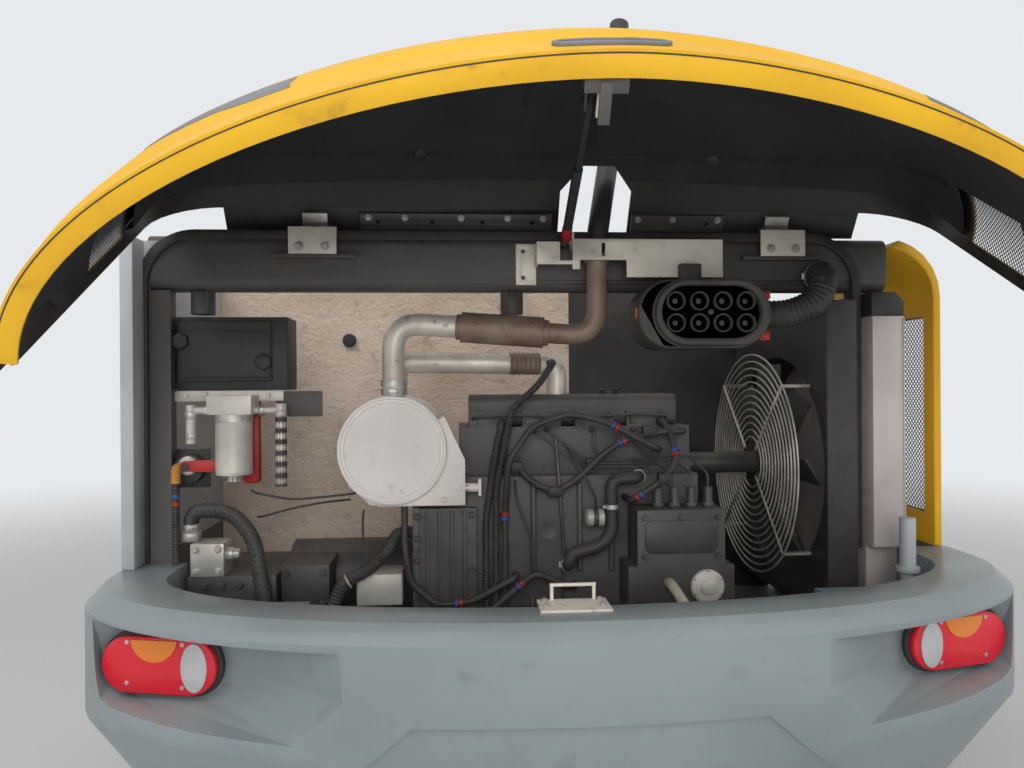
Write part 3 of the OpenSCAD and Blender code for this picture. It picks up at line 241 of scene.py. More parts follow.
@dataclass(frozen=True)
class Finish:
    """A finish with tone changes, dust on what faces up, stains and relief.

    Its slot is the record's material slot, and is left out where it is called like the finish.
    """

    name: str
    colour: Colour
    tone: Colour
    rough: float = 0.5
    metal: float = 0.0
    coat: float = 0.0
    relief: Relief = Relief.FINE
    depth: float = 0.3
    dust: float = 0.4
    dust_colour: Colour = (0.30, 0.25, 0.19)
    stain: float = 0.0
    stain_colour: Colour = (0.16, 0.07, 0.03)
    patch: float = 5.0
    slot: str = ""

    def height(self, paint: Painter) -> Sock:
        """The relief's height.

        Args:
            paint: The material under construction.

        Returns:
            A height socket.
        """
        if self.relief is Relief.CAST:
            return paint.noise(90, 4) + paint.noise(320, 2) * 0.6
        if self.relief is Relief.FOAM:
            cells = paint.node("ShaderNodeTexVoronoi", {}, {"Vector": paint.place, "Scale": 260.0})
            cells = cells["Distance"]
            return cells * 0.8 + paint.noise(40, 3) * 1.2
        if self.relief is Relief.FOIL:
            creases = paint.node("ShaderNodeTexVoronoi", {"feature": "DISTANCE_TO_EDGE"},
                                 {"Vector": paint.place, "Scale": 18.0})["Distance"]
            return creases.ramp(0.0, 0.08) * 0.25 + paint.noise(150, 4) + paint.noise(60, 3) * 0.7
        if self.relief is Relief.BRUSHED:
            return paint.noise(60, 3, (1, 1, 14))
        if self.relief is Relief.RIBBED:
            wave = paint.node("ShaderNodeTexWave", {"bands_direction": "X"},
                              {"Vector": paint.place, "Scale": 55.0, "Distortion": 0.0})["Fac"]
            return wave + paint.noise(200, 2) * 0.1
        return paint.noise(420, 3)

    def make(self) -> bpy.types.Material:
        """Builds the material once and gives the same one afterwards."""
        found = bpy.data.materials.get(f"{self.name}_look")
        if found:
            return found
        paint = Painter(f"{self.name}_look")
        patches = paint.noise(self.patch, 5)
        colour = paint.mix(patches.ramp(0.35, 0.68), self.colour, self.tone)
        rough = patches * 0.25 + (self.rough - 0.12) + paint.noise(70, 3) * 0.1
        if self.stain:
            spots = paint.noise(self.patch * 4, 6).ramp(0.66 - 0.16 * self.stain, 0.78)
            colour = paint.mix(spots * min(1.0, self.stain * 1.4), colour, self.stain_colour)
            rough = rough + spots * 0.2
        if self.dust:
            film = paint.noise(self.patch * 2.2, 4).ramp(0.25, 0.75)
            dust = (paint.up() * 0.75 + 0.18) * (film * 0.7 + 0.3) * self.dust
            colour = paint.mix(dust, colour, self.dust_colour)
            rough = rough + dust * 0.35
            if self.metal:
                paint.feed("Metallic", (1 - dust) * self.metal)
        elif self.metal:
            paint.feed("Metallic", self.metal)
        paint.feed("Base Color", colour)
        paint.feed("Roughness", rough)
        if self.coat:
            paint.feed("Coat Weight", self.coat)
            paint.feed("Coat Roughness", 0.15)
        paint.bump(self.height(paint), self.depth, FOIL_BUMP if self.relief is Relief.FOIL else BUMP)
        return paint.material


YELLOW = Finish("hood_paint", (0.90, 0.50, 0.008), (0.84, 0.45, 0.008), 0.52, depth=0.08, dust=0.10,
                stain=0.12, patch=3.0, slot="hood_yellow")
YELLOW_INSIDE = Finish("hood_paint_inside", (0.92, 0.52, 0.008), (0.82, 0.44, 0.008), 0.5, depth=0.15,
                       dust=0.12, stain=0.3, stain_colour=(0.25, 0.13, 0.03), patch=4.0,
                       slot="hood_yellow")
WEIGHT = Finish("weight_paint", (0.225, 0.268, 0.284), (0.262, 0.304, 0.318), 0.38, coat=0.25, depth=0.25,
                relief=Relief.CAST, dust=0.30, dust_colour=(0.40, 0.39, 0.35), stain=0.3,
                stain_colour=(0.17, 0.175, 0.16), patch=2.6)
FRAME_BLACK = Finish("frame_black", (0.074, 0.070, 0.066), (0.098, 0.090, 0.083), 0.46, dust=0.3,
                     stain=0.3)
POST_GREY = Finish("post_grey", (0.50, 0.53, 0.55), (0.42, 0.45, 0.47), 0.42, dust=0.3, stain=0.15)
RUBBER = Finish("seal_rubber", (0.026, 0.026, 0.027), (0.042, 0.040, 0.039), 0.62, dust=0.25, patch=12)
FOIL = Finish("foil", (0.92, 0.76, 0.62), (0.78, 0.63, 0.50), 0.55, metal=0.1, relief=Relief.FOIL,
              depth=0.7, dust=0.3, dust_colour=(0.34, 0.28, 0.22), stain=0.35,
              stain_colour=(0.36, 0.29, 0.23), patch=5)
FOAM = Finish("foam", (0.027, 0.027, 0.031), (0.041, 0.041, 0.045), 0.85, relief=Relief.FOAM, depth=0.5,
              dust=0.10)
BLACK = Finish("satin_black", (0.024, 0.024, 0.025), (0.040, 0.037, 0.036), 0.42, dust=0.2, patch=8,
               slot="grille_black")
ZINC = Finish("zinc", (0.86, 0.79, 0.68), (0.72, 0.66, 0.56), 0.40, metal=0.12, relief=Relief.BRUSHED,
              depth=0.15, dust=0.14, stain=0.25, patch=9)
CAST = Finish("engine_paint", (0.080, 0.078, 0.078), (0.120, 0.110, 0.102), 0.46, relief=Relief.CAST,
              depth=0.4, dust=0.4, dust_colour=(0.15, 0.12, 0.09), stain=0.5,
              stain_colour=(0.07, 0.045, 0.03), patch=7)
PUMP_BLACK = Finish("pump_black", (0.046, 0.046, 0.047), (0.074, 0.068, 0.062), 0.40, relief=Relief.CAST,
                    depth=0.3, dust=0.35, dust_colour=(0.22, 0.18, 0.14), stain=0.3, patch=9)
PLASTIC = Finish("black_plastic", (0.020, 0.020, 0.022), (0.032, 0.031, 0.031), 0.48, depth=0.35,
                 dust=0.14, patch=10, slot="filter_plastic")
ALUMINIUM = Finish("aluminium", (0.72, 0.69, 0.62), (0.56, 0.53, 0.47), 0.42, metal=0.25,
                   relief=Relief.CAST, depth=0.2, dust=0.35, stain=0.2, patch=8, slot="bowl_metal")
RADIATOR = Finish("radiator_metal", (0.64, 0.57, 0.54), (0.54, 0.48, 0.455), 0.45, metal=0.15, depth=0.15,
                  dust=0.15)
SILENCER = Finish("silencer_white", (0.93, 0.87, 0.82), (0.86, 0.80, 0.75), 0.55, metal=0.08, depth=0.3,
                  dust=0.08, stain=0.15, patch=6)
HEAT_STEEL = Finish("exhaust_metal", (0.26, 0.18, 0.13), (0.38, 0.29, 0.22), 0.50, metal=0.3, depth=0.4,
                    dust=0.3, stain=0.5, stain_colour=(0.12, 0.05, 0.02), patch=10)
SILVER_PIPE = Finish("silver_pipe", (0.88, 0.80, 0.70), (0.64, 0.56, 0.48), 0.38, metal=0.3, depth=0.3,
                     dust=0.25, stain=0.4, patch=8, slot="exhaust_metal")
HOSE = Finish("hose_rubber", (0.034, 0.034, 0.035), (0.056, 0.052, 0.050), 0.50, depth=0.3, dust=0.25,
              patch=14)
STEEL = Finish("fitting_steel", (0.62, 0.60, 0.56), (0.48, 0.45, 0.40), 0.36, metal=0.6, dust=0.3,
               stain=0.35, patch=14)
RED_LENS = Finish("lens_red", (0.86, 0.012, 0.035), (0.76, 0.010, 0.028), 0.24, coat=0.2,
                  relief=Relief.RIBBED, depth=0.25, dust=0.0)
AMBER_LENS = Finish("lens_amber", (0.95, 0.27, 0.008), (0.88, 0.23, 0.008), 0.16, coat=0.5,
                    relief=Relief.RIBBED, depth=0.25, dust=0.08, slot="lens_red")
CLEAR_LENS = Finish("lens_clear", (0.62, 0.63, 0.63), (0.52, 0.53, 0.53), 0.14, coat=0.8,
                    relief=Relief.RIBBED, depth=0.4, dust=0.08, slot="lens_red")
GRIP_GREY = Finish("grip_grey", (0.20, 0.215, 0.24), (0.165, 0.175, 0.195), 0.5, dust=0.2)
DULL = Finish("dull_fittings", (0.12, 0.115, 0.108), (0.065, 0.06, 0.055), 0.45, metal=0.4, dust=0.35,
              dust_colour=(0.16, 0.13, 0.10), stain=0.4, patch=14, slot="fitting_steel")
GUARD_WIRE = Finish("guard_wire", (0.58, 0.54, 0.48), (0.40, 0.37, 0.32), 0.42, metal=0.3, dust=0.3,
                    stain=0.3, patch=12)
DUSTY_PLASTIC = Finish("dusty_plastic", (0.050, 0.046, 0.042), (0.085, 0.075, 0.065), 0.6, depth=0.35,
                       dust=0.5, dust_colour=(0.20, 0.17, 0.14), patch=10, slot="filter_plastic")
FAN_BLACK = Finish("fan_plastic", (0.028, 0.028, 0.029), (0.045, 0.042, 0.040), 0.5, dust=0.4, patch=10)
RED_PLASTIC = Finish("red_plastic", (0.50, 0.020, 0.015), (0.42, 0.018, 0.014), 0.42, dust=0.25, patch=20,
                     slot="filter_plastic")
AMBER_PLASTIC = Finish("amber_plastic", (0.62, 0.27, 0.02), (0.50, 0.20, 0.02), 0.45, dust=0.3, patch=20,
                       slot="filter_plastic")
BEIGE = Finish("beige_plastic", (0.55, 0.48, 0.38), (0.46, 0.40, 0.31), 0.5, dust=0.3, patch=12,
               slot="fitting_steel")
BLUE_TAPE = Finish("blue_tape", (0.03, 0.10, 0.42), (0.03, 0.08, 0.34), 0.5, dust=0.25, patch=20,
                   slot="hose_rubber")


# Modelling with the tools of the modelling window


def clear_selection() -> None:
    """Leaves edit mode and deselects everything."""
    if bpy.context.object and bpy.context.object.mode != "OBJECT":
        bpy.ops.object.mode_set(mode="OBJECT")
    bpy.ops.object.select_all(action="DESELECT")


@contextmanager
def editing() -> Iterator[None]:
    """Edit mode with the whole mesh selected, and object mode afterwards."""
    bpy.ops.object.mode_set(mode="EDIT")
    bpy.ops.mesh.select_all(action="SELECT")
    yield
    bpy.ops.object.mode_set(mode="OBJECT")


def pick(obj: Obj, *others: Obj) -> None:
    """Selects only these objects, with the first one active."""
    clear_selection()
    for each in (obj, *others):
        each.select_set(True)
    bpy.context.view_layer.objects.active = obj


def apply_place(obj: Obj) -> Obj:
    """Moves the object's place into its mesh."""
    pick(obj)
    bpy.ops.object.transform_apply(location=True, rotation=True, scale=True)
    return obj


def modify(obj: Obj, kind: str, **settings: Any) -> Obj:
    """Adds one modifier and applies it.

    Args:
        obj: The object.
        kind: The modifier's type.
        **settings: Its properties.

    Returns:
        The same object.
    """
    pick(obj)
    modifier = obj.modifiers.new(kind.lower(), kind)
    for key, value in settings.items():
        setattr(modifier, key, value)
    bpy.ops.object.modifier_apply(modifier=modifier.name)
    return obj


def smooth(obj: Obj, degrees: float = 35.0) -> Obj:
    """Smooth shading below an edge angle."""
    pick(obj)
    bpy.ops.object.shade_smooth_by_angle(angle=math.radians(degrees))
    return obj


def soften(obj: Obj, width: float, segments: int = 2) -> Obj:
    """Rounds the sharp edges and shades the piece.

    Args:
        obj: The object.
        width: Rounding in millimetres.
        segments: Faces across a rounding.

    Returns:
        The same object.
    """
    if width > 0:
        modify(obj, "BEVEL", width=width / 1000, segments=segments, limit_method="ANGLE",
               angle_limit=EDGE_ANGLE)
    return smooth(obj)


def spin_to(direction: Point) -> Matrix:
    """Turn that carries the z axis to a direction."""
    return Vector(direction).to_track_quat("Z", "Y").to_matrix().to_4x4()


def box(low: Point, high: Point, round_by: float = 1.5) -> Obj:
    """Block between two corners in the drawing's millimetres, with rounded edges.

    Args:
        low: Lowest corner.
        high: Highest corner.
        round_by: Rounding in millimetres.

    Returns:
        The block.
    """
    a, b = at(*low), at(*high)
    clear_selection()
    bpy.ops.mesh.primitive_cube_add(size=1, location=(a + b) / 2)
    obj = bpy.context.object
    obj.scale = b - a
    apply_place(obj)
    return soften(obj, round_by)


def turned(base: Point, direction: Point, steps: Sequence[Point], sides: int = 32,
           round_by: float = 0.0) -> Obj:
    """Turned shape: a ring is extruded and scaled from step to step, then closed at both ends.

    Args:
        base: Foot of the axis, in the drawing's millimetres.
        direction: Way of the axis.
        steps: Distance along the axis and radius, in millimetres.
        sides: Faces round it.
        round_by: Rounding of its edges in millimetres.

    Returns:
        The closed shape.
    """
    clear_selection()
    start, radius = steps[0][0] / 1000, steps[0][1] / 1000
    bpy.ops.mesh.primitive_circle_add(vertices=sides, radius=radius, fill_type="NGON",
                                      location=(0, 0, start))
    obj = apply_place(bpy.context.object)
    with editing():
        for (z0, r0), (z1, r1) in zip(steps, steps[1:]):
            bpy.ops.mesh.extrude_region_move(TRANSFORM_OT_translate={"value": (0, 0, (z1 - z0) / 1000)})
            if r1 != r0:
                bpy.ops.transform.resize(value=(r1 / r0, r1 / r0, 1), center_override=(0, 0, z1 / 1000))
        bpy.ops.mesh.select_all(action="SELECT")
        bpy.ops.mesh.normals_make_consistent(inside=False)
    obj.matrix_world = Matrix.Translation(at(*base)) @ spin_to(direction)
    apply_place(obj)
    return soften(obj, round_by, 1)


def rod(start: Point, end: Point, radius: float, sides: int = 24, round_by: float = 1.0) -> Obj:
    """Round bar between two points with softened ends."""
    way = Vector(end) - Vector(start)
    return turned(start, way, [(0, radius), (way.length, radius)], sides, round_by)


def band(base: Point, way: Point, inner: float, outer: float, length: float, sides: int = 32,
         lip: float = 0.3, round_by: float = 0.0) -> Obj:
    """Thin band round a pipe, whose two ends slope over a short lip.

    Args:
        base: Foot of its axis.
        way: Way of its axis.
        inner: Radius at its ends.
        outer: Radius between the lips.
        length: Length over all.
        sides: Faces round it.
        lip: Length of each lip.
        round_by: Rounding of its edges.

    Returns:
        The band, closed.
    """
    steps = [(0, inner), (lip, outer), (length - lip, outer), (length, inner)]
    return turned(base, way, steps, sides, round_by)


def prism(outline: Sequence[Point], base: Point, across: Point, up: Point, depth: float,
          round_by: float = 0.8) -> Obj:
    """Plate with a drawn outline, made from a filled ring whose corners are moved and extruded.

    Args:
        outline: Corners in the plate's own plane, in millimetres.
        base: Where the outline's zero lies.
        across: Way of the outline's first axis.
        up: Way of its second axis.
        depth: Thickness along across x up.
        round_by: Rounding in millimetres.

    Returns:
        The plate.
    """
    clear_selection()
    bpy.ops.mesh.primitive_circle_add(vertices=len(outline), radius=1, fill_type="NGON")
    obj = bpy.context.object
    for vertex, (u, v) in zip(obj.data.vertices, outline):
        vertex.co = (u / 1000, v / 1000, 0)
    with editing():
        bpy.ops.mesh.extrude_region_move(TRANSFORM_OT_translate={"value": (0, 0, depth / 1000)})
        bpy.ops.mesh.select_all(action="SELECT")
        bpy.ops.mesh.normals_make_consistent(inside=False)
    x, y = Vector(across).normalized(), Vector(up).normalized()
    turn = Matrix((x, y, x.cross(y))).transposed().to_4x4()
    obj.matrix_world = Matrix.Translation(at(*base)) @ turn
    apply_place(obj)
    return soften(obj, round_by)


def rounded_route(points: Sequence[Point], reach: float, steps: int = 6) -> list[Vector]:
    """Rounds the corners of a route.

    Args:
        points: Corners in millimetres.
        reach: How far before and after a corner the bend runs.
        steps: Parts of a bend.

    Returns:
        The points of the rounded route.
    """
    ways = [Vector(p) for p in points]
    route = [ways[0]]
    for before, corner, after in zip(ways, ways[1:], ways[2:]):
        r = min(reach, 0.45 * (corner - before).length, 0.45 * (after - corner).length)
        a = corner + (before - corner).normalized() * r
        b = corner + (after - corner).normalized() * r
        for k in range(steps + 1):
            t = k / steps
            route.append(a * (1 - t) ** 2 + corner * 2 * t * (1 - t) + b * t * t)
    return route + [ways[-1]]


def even_route(route: Sequence[Vector], pitch: float) -> list[Vector]:
    """Points at an even pitch along a route."""
    lengths = [(b - a).length for a, b in zip(route, route[1:])]
    total = sum(lengths)
    count = max(2, round(total / pitch))
    points, leg, gone = [], 0, 0.0
    for k in range(count + 1):
        want = total * k / count
        while leg < len(lengths) - 1 and gone + lengths[leg] < want:
            gone += lengths[leg]
            leg += 1
        share = min(1.0, (want - gone) / max(lengths[leg], 1e-9))
        points.append(route[leg].lerp(route[leg + 1], share))
    return points


def tube(points: Sequence[Point], radius: float, reach: float = 30.0, sides: int = 16,
         wave: float = 0.0, pitch: float = 6.0, steps: int = 6) -> Obj:
    """Pipe or hose along a route, from a bevelled curve that is made a mesh.

    Args:
        points: Corners in the drawing's millimetres.
        radius: Outside radius in millimetres.
        reach: Reach of the bends.
        sides: Faces round it.
        wave: Depth of its corrugation as a share of the radius.
        pitch: Length of one corrugation in millimetres.
        steps: Parts of a bend.

    Returns:
        The tube.
    """
    route = rounded_route(points, reach, steps)
    if wave:
        route = even_route(route, pitch / 2)
    clear_selection()
    bpy.ops.curve.primitive_bezier_curve_add()
    obj = bpy.context.object
    obj.matrix_world = Matrix.Identity(4)
    curve = obj.data
    curve.splines.clear()
    spline = curve.splines.new("POLY")
    spline.points.add(len(route) - 1)
    for index, (point, place) in enumerate(zip(spline.points, route)):
        point.co = (*at(*place), 1)
        point.radius = 1 - wave * (index % 2)
    curve.dimensions = "3D"
    curve.bevel_depth = radius / 1000
    curve.bevel_resolution = max(0, sides // 4 - 1)
    curve.use_fill_caps = True
    pick(obj)
    bpy.ops.object.convert(target="MESH")
    return smooth(bpy.context.object, 50)


def join(name: str, *pieces: Obj) -> Obj:
    """Makes one piece of several.

    Args:
        name: The piece's name.
        *pieces: What goes into it.

    Returns:
        The joined piece.
    """
    pick(*pieces)
    if len(pieces) > 1:
        bpy.ops.object.join()
    obj = bpy.context.object
    obj.name = name
    obj.data.name = name
    return obj


def copies(model: Obj, places: Iterable[Matrix]) -> list[Obj]:
    """Copies of a small model, each with its own mesh; the model itself is used up."""
    made = []
    for place in places:
        twin = model.copy()
        twin.data = model.data.copy()
        twin.data.transform(place)
        bpy.context.scene.collection.objects.link(twin)
        made.append(twin)
    bpy.data.objects.remove(model)
    return made


def to_origin(obj: Obj) -> Obj:
    """Brings a model whose foot is the drawing's origin to the world's origin."""
    obj.data.transform(Matrix.Translation(-at(0, 0, 0)))
    return obj


def even_turns(count: int) -> list[float]:
    """Turns in radians that part a circle evenly."""
    return [math.tau * k / count for k in range(count)]


def around(a: float, b: float, wide: float, tall: float, turns: Iterable[float]) -> list[tuple[float,
                                                                                               float]]:
    """Points of an ellipse about (a, b) in its own plane, at turns in radians."""
    return [(a + wide * math.cos(t), b + tall * math.sin(t)) for t in turns]


def grid(columns: int, rows: int) -> Obj:
    """Flat grid from -1 to 1 both ways."""
    clear_selection()
    bpy.ops.mesh.primitive_grid_add(x_subdivisions=columns, y_subdivisions=rows, size=2)
    return bpy.context.object


def lay(obj: Obj, place: Callable[[float, float], Point]) -> Obj:
    """Carries a flat grid onto a surface.

    Args:
        obj: The grid.
        place: Point of the surface in metres, at two shares from 0 to 1.

    Returns:
        The same object.
    """
    for vertex in obj.data.vertices:
        vertex.co = place((vertex.co.x + 1) / 2, (vertex.co.y + 1) / 2)
    return obj


def wire_mesh(columns: int, rows: int, wire: float, place: Callable[[float, float], Point]) -> Obj:
    """Expanded metal: diamonds of wire on any surface.

    Args:
        columns: Cells across.
        rows: Cells up.
        wire: Thickness in millimetres.
        place: Point of the surface at two shares from 0 to 1.

    Returns:
        The mesh.
    """
    obj = grid(columns, rows)
    with editing():
        bpy.ops.mesh.poke()
        bpy.ops.mesh.tris_convert_to_quads(face_threshold=math.pi, shape_threshold=math.pi)
    return modify(lay(obj, place), "WIREFRAME", thickness=wire / 1000, use_replace=True, use_boundary=True)


def bolts(places: Sequence[Point], direction: Point, radius: float) -> Obj:
    """Hexagon bolts with washers, all one piece.

    Args:
        places: Their seats in the drawing's millimetres.
        direction: Way that the heads face.
        radius: Size of the heads.

    Returns:
        The bolts.
    """
    head, washer = (turned((0, 0, 0), UP, [(radius * z, radius * r) for z, r in steps], sides)
                    for steps, sides in ((BOLT_HEAD, 6), (BOLT_WASHER, 16)))
    model = to_origin(join("bolt", head, washer))
    return join("bolts", *copies(model, [Matrix.Translation(at(*p)) @ spin_to(direction) for p in places]))


def hose_clamp(place: Point, way: Point, radius: float) -> Obj:
    """Band clamp with its screw housing.

    Args:
        place: Its middle in the drawing's millimetres.
        way: Direction of the hose.
        radius: Radius of the hose.

    Returns:
        The clamp.
    """
    strap = band(Vector(place) - Vector(way).normalized() * 6, way, radius, radius + 1.2, 12, 28, 0.2)
    side, along = spin_to(way) @ Vector((1, 0, 0)), (spin_to(way) @ Vector((0, 1, 0))) * 9
    middle = Vector(place) + side * (radius + 4)
    return join("clamp", strap, rod(middle - along, middle + along, 4.2, 10, 0.5))


def softened_copy(node: str, width: float) -> Obj:
    """Copy of a CAD node with merged corners, whole faces and rounded edges.

    Args:
        node: The CAD node.
        width: Rounding in millimetres.

    Returns:
        A new object named after the node.
    """
    source = bpy.data.objects[node]
    obj = bpy.data.objects.new(f"{node}_dressed", source.data.copy())
    bpy.context.scene.collection.objects.link(obj)
    obj.data.materials.clear()
    pick(obj)
    with editing():
        bpy.ops.mesh.remove_doubles(threshold=WELD)
        bpy.ops.mesh.dissolve_limited(angle_limit=FLAT_ANGLE)
    return soften(obj, width)


@dataclass
class Assembly:
    """Base of every sub-assembly: joins, dresses and hangs its pieces."""

    body: str = "tail"

    def put(self, name: str, finish: Finish, *pieces: Obj, slot: str = "", replaced: str = "",
            body: str = "") -> Obj:
        """Makes one piece, dresses it and hangs it on its body.

        Args:
            name: The piece's name.
            finish: Its finish.
            *pieces: What it is joined from.
            slot: The record's material slot; it is not used.
            replaced: CAD node that it stands for.
            body: CAD body that it rides on; the assembly's own if left out.

        Returns:
            The dressed piece.
        """
        obj, body = join(name, *pieces), body or self.body
        obj.data.materials.clear()
        obj.data.materials.append(finish.make())
        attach(obj, body)
        if replaced:
            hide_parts(replaced)
        slot or finish.slot or finish.name
        LOG.info("%s on %s, %d faces", obj.name, body, len(obj.data.polygons))
        return obj

    def round_off(self, finish: Finish, width: float, *nodes: str, slot: str = "", body: str = "") -> None:
        """Replaces CAD nodes by copies whose edges are rounded by a width in millimetres."""
        for node in nodes:
            self.put(f"{node}_dressed", finish, softened_copy(node, width), slot=slot, replaced=node,
                     body=body)

    def bolted(self, name: str, finish: Finish, places: Sequence[Point], radius: float = 8.0,
               way: Point = BACK, slot: str = "", body: str = "") -> None:
        """Puts bolts at their seats, with their heads facing one way."""
        self.put(name, finish, bolts(places, way, radius), slot=slot, body=body)


# The tail's body: counterweight, frame, lamps


class Side(Enum):
    """Left and right as seen from behind."""

    LEFT = -1
    RIGHT = 1


@dataclass
class Counterweight(Assembly):
    """Cast counterweight and the striker on its edge."""

    def build(self) -> None:
        """Builds the casting and its small parts."""
        self.round_off(WEIGHT, 4.0, "counterweight")
        self.round_off(ZINC, 1.0, "latch_striker")
        self.bolted("striker_bolts", STEEL, [(x, y, 5) for y in (90, 132) for x in (-80, 40)], 6, UP)


@dataclass
class TailLamp(Assembly):
    """Oval tail lamp on its rubber seat, with red, amber and clear lenses."""

    side: Side = Side.LEFT
    width: float = 290.0
    height: float = 142.0
    seat: float = 14.0
    lens: float = 16.0
    dome: float = 5.0
    margin: float = 8.0
    turn: float = 12.0
    amber_top: float = 61.0

    def face(self) -> Matrix:
        """Place of the lamp on its seat's back: x across, y up, z out of the lamp."""
        low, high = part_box(f"{self.side.name.lower()}_lamp_seat")
        turn = math.radians(self.turn) * self.side.value
        out = Vector((math.sin(turn), -math.cos(turn), 0))
        across = Vector((math.cos(turn), math.sin(turn), 0))
        back = (low + high) / 2 - out * self.seat / 2000
        return Matrix.Translation(back) @ Matrix((across, Vector(UP), out)).transposed().to_4x4()

    def oval(self, count: int = 14) -> list[tuple[float, float]]:
        """Outline of the oval red lens."""
        w, h = self.width / 2 - self.margin, self.height / 2 - self.margin
        turns = [math.radians(-90 + 180 * k / count) for k in range(count + 1)]
        return around(w - h, 0, h, h, turns) + [(-x, -y) for x, y in around(w - h, 0, h, h, turns)]

    def plate(self, outline: Sequence[Point], low: float, high: float, round_by: float) -> Obj:
        """Plate on the lamp between two heights above the seat's back."""
        obj = to_origin(prism(outline, (0, 0, 0), ACROSS, FORWARD, high - low, round_by))
        obj.data.transform(self.face() @ Matrix.Translation((0, 0, low / 1000)))
        return obj

    def build(self) -> None:
        """Builds the seat, the lenses and the screws."""
        name, s = self.side.name.lower(), self.side.value
        front = self.seat + self.lens
        self.round_off(RUBBER, 2.5, f"{name}_lamp_seat")
        self.put(f"{name}_lamp_red", RED_LENS, self.plate(self.oval(), self.seat - 1, front, 4.0),
                 replaced=f"{name}_tail_lamp")
        clear = around(-s * 87, 0, 31, 54, even_turns(28))
        self.put(f"{name}_lamp_clear", CLEAR_LENS, self.plate(clear, front - 1, front + self.dome, 2.5))
        amber = [p for p in around(s * 8, 64, 56, 56, even_turns(56)) if p[1] < self.amber_top]
        self.put(f"{name}_lamp_amber", AMBER_LENS, self.plate(amber, front - 1, front + self.dome - 1, 2.0))
        screws = [self.plate(around(-s * x, y, 5, 5, even_turns(12)), front - 1, front + 2, 0.6)
                  for x, y in ((-73, 51), (59, 50), (-74, -40), (58, -45))]
        self.put(f"{name}_lamp_screws", STEEL, *screws)


@dataclass
class TailFrame(Assembly):
    """Frame rails and floor, bay frame, walls, seal and firewall."""

    mesh_margin: float = 0.002
    foil_edge: float = 0.14
    foil_gap: float = 0.003
    foil_thickness: float = 0.003
    crease_scale: float = 34.0
    crease_depth: float = 0.0022

    def build(self) -> None:
        """Rounds the CAD's frame pieces and seal, and adds the side grille's mesh and the foil."""
        self.round_off(FRAME_BLACK, 2.5, "tail_frame")
        self.round_off(FRAME_BLACK, 0.0, "bay_frame")
        self.round_off(POST_GREY, 2.0, "left_post", "left_side_wall")
        self.round_off(YELLOW, 3.0, "right_side_panel")
        low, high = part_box("right_side_grille")
        edge = self.mesh_margin
        screen = wire_mesh(38, 38, 3.4, lambda u, v: Vector((
            (low.x + high.x) / 2, low.y + edge + u * (high.y - low.y - 2 * edge),
            low.z + edge + v * (high.z - low.z - 2 * edge))))
        self.put("right_grille_mesh", BLACK, screen, replaced="right_side_grille")
        self.round_off(RUBBER, 3.0, "bay_seal")
        self.foil()

    def foil(self) -> None:
        """Crinkled foil blanket on the firewall's left, before its bare dark plate."""
        low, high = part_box("firewall")
        plate = box((low.x * 1000, 1266.5, -280), (high.x * 1000, 1271, 880), 1.0)
        self.put("firewall_plate", BLACK, plate, slot="frame_black")

        def crinkled(u: float, v: float) -> Vector:
            """Point of the blanket, pushed back by its creases."""
            x, z = low.x + (self.foil_edge - low.x) * u, low.z + (high.z - low.z) * v
            place = Vector((x * self.crease_scale, 3.1, z * self.crease_scale))
            crease = abs(noise.noise(place)) + 0.5 * abs(noise.noise(place * 2.1))
            crease += 0.35 * noise.noise(place * 0.2)
            return Vector((x, low.y - self.foil_gap - self.crease_depth * crease, z))

        sheet = lay(grid(220, 190), crinkled)
        modify(sheet, "SOLIDIFY", thickness=self.foil_thickness, offset=-1.0)
        self.put("foil_blanket", FOIL, smooth(sheet, 60), replaced="firewall")
        plug = turned((-645, 1266, 630), BACK, [(0, 24), (18, 24), (21, 20), (21, 6)], 24, 0.8)
        self.put("foil_grommet", RUBBER, plug, slot="foil")


# The hood


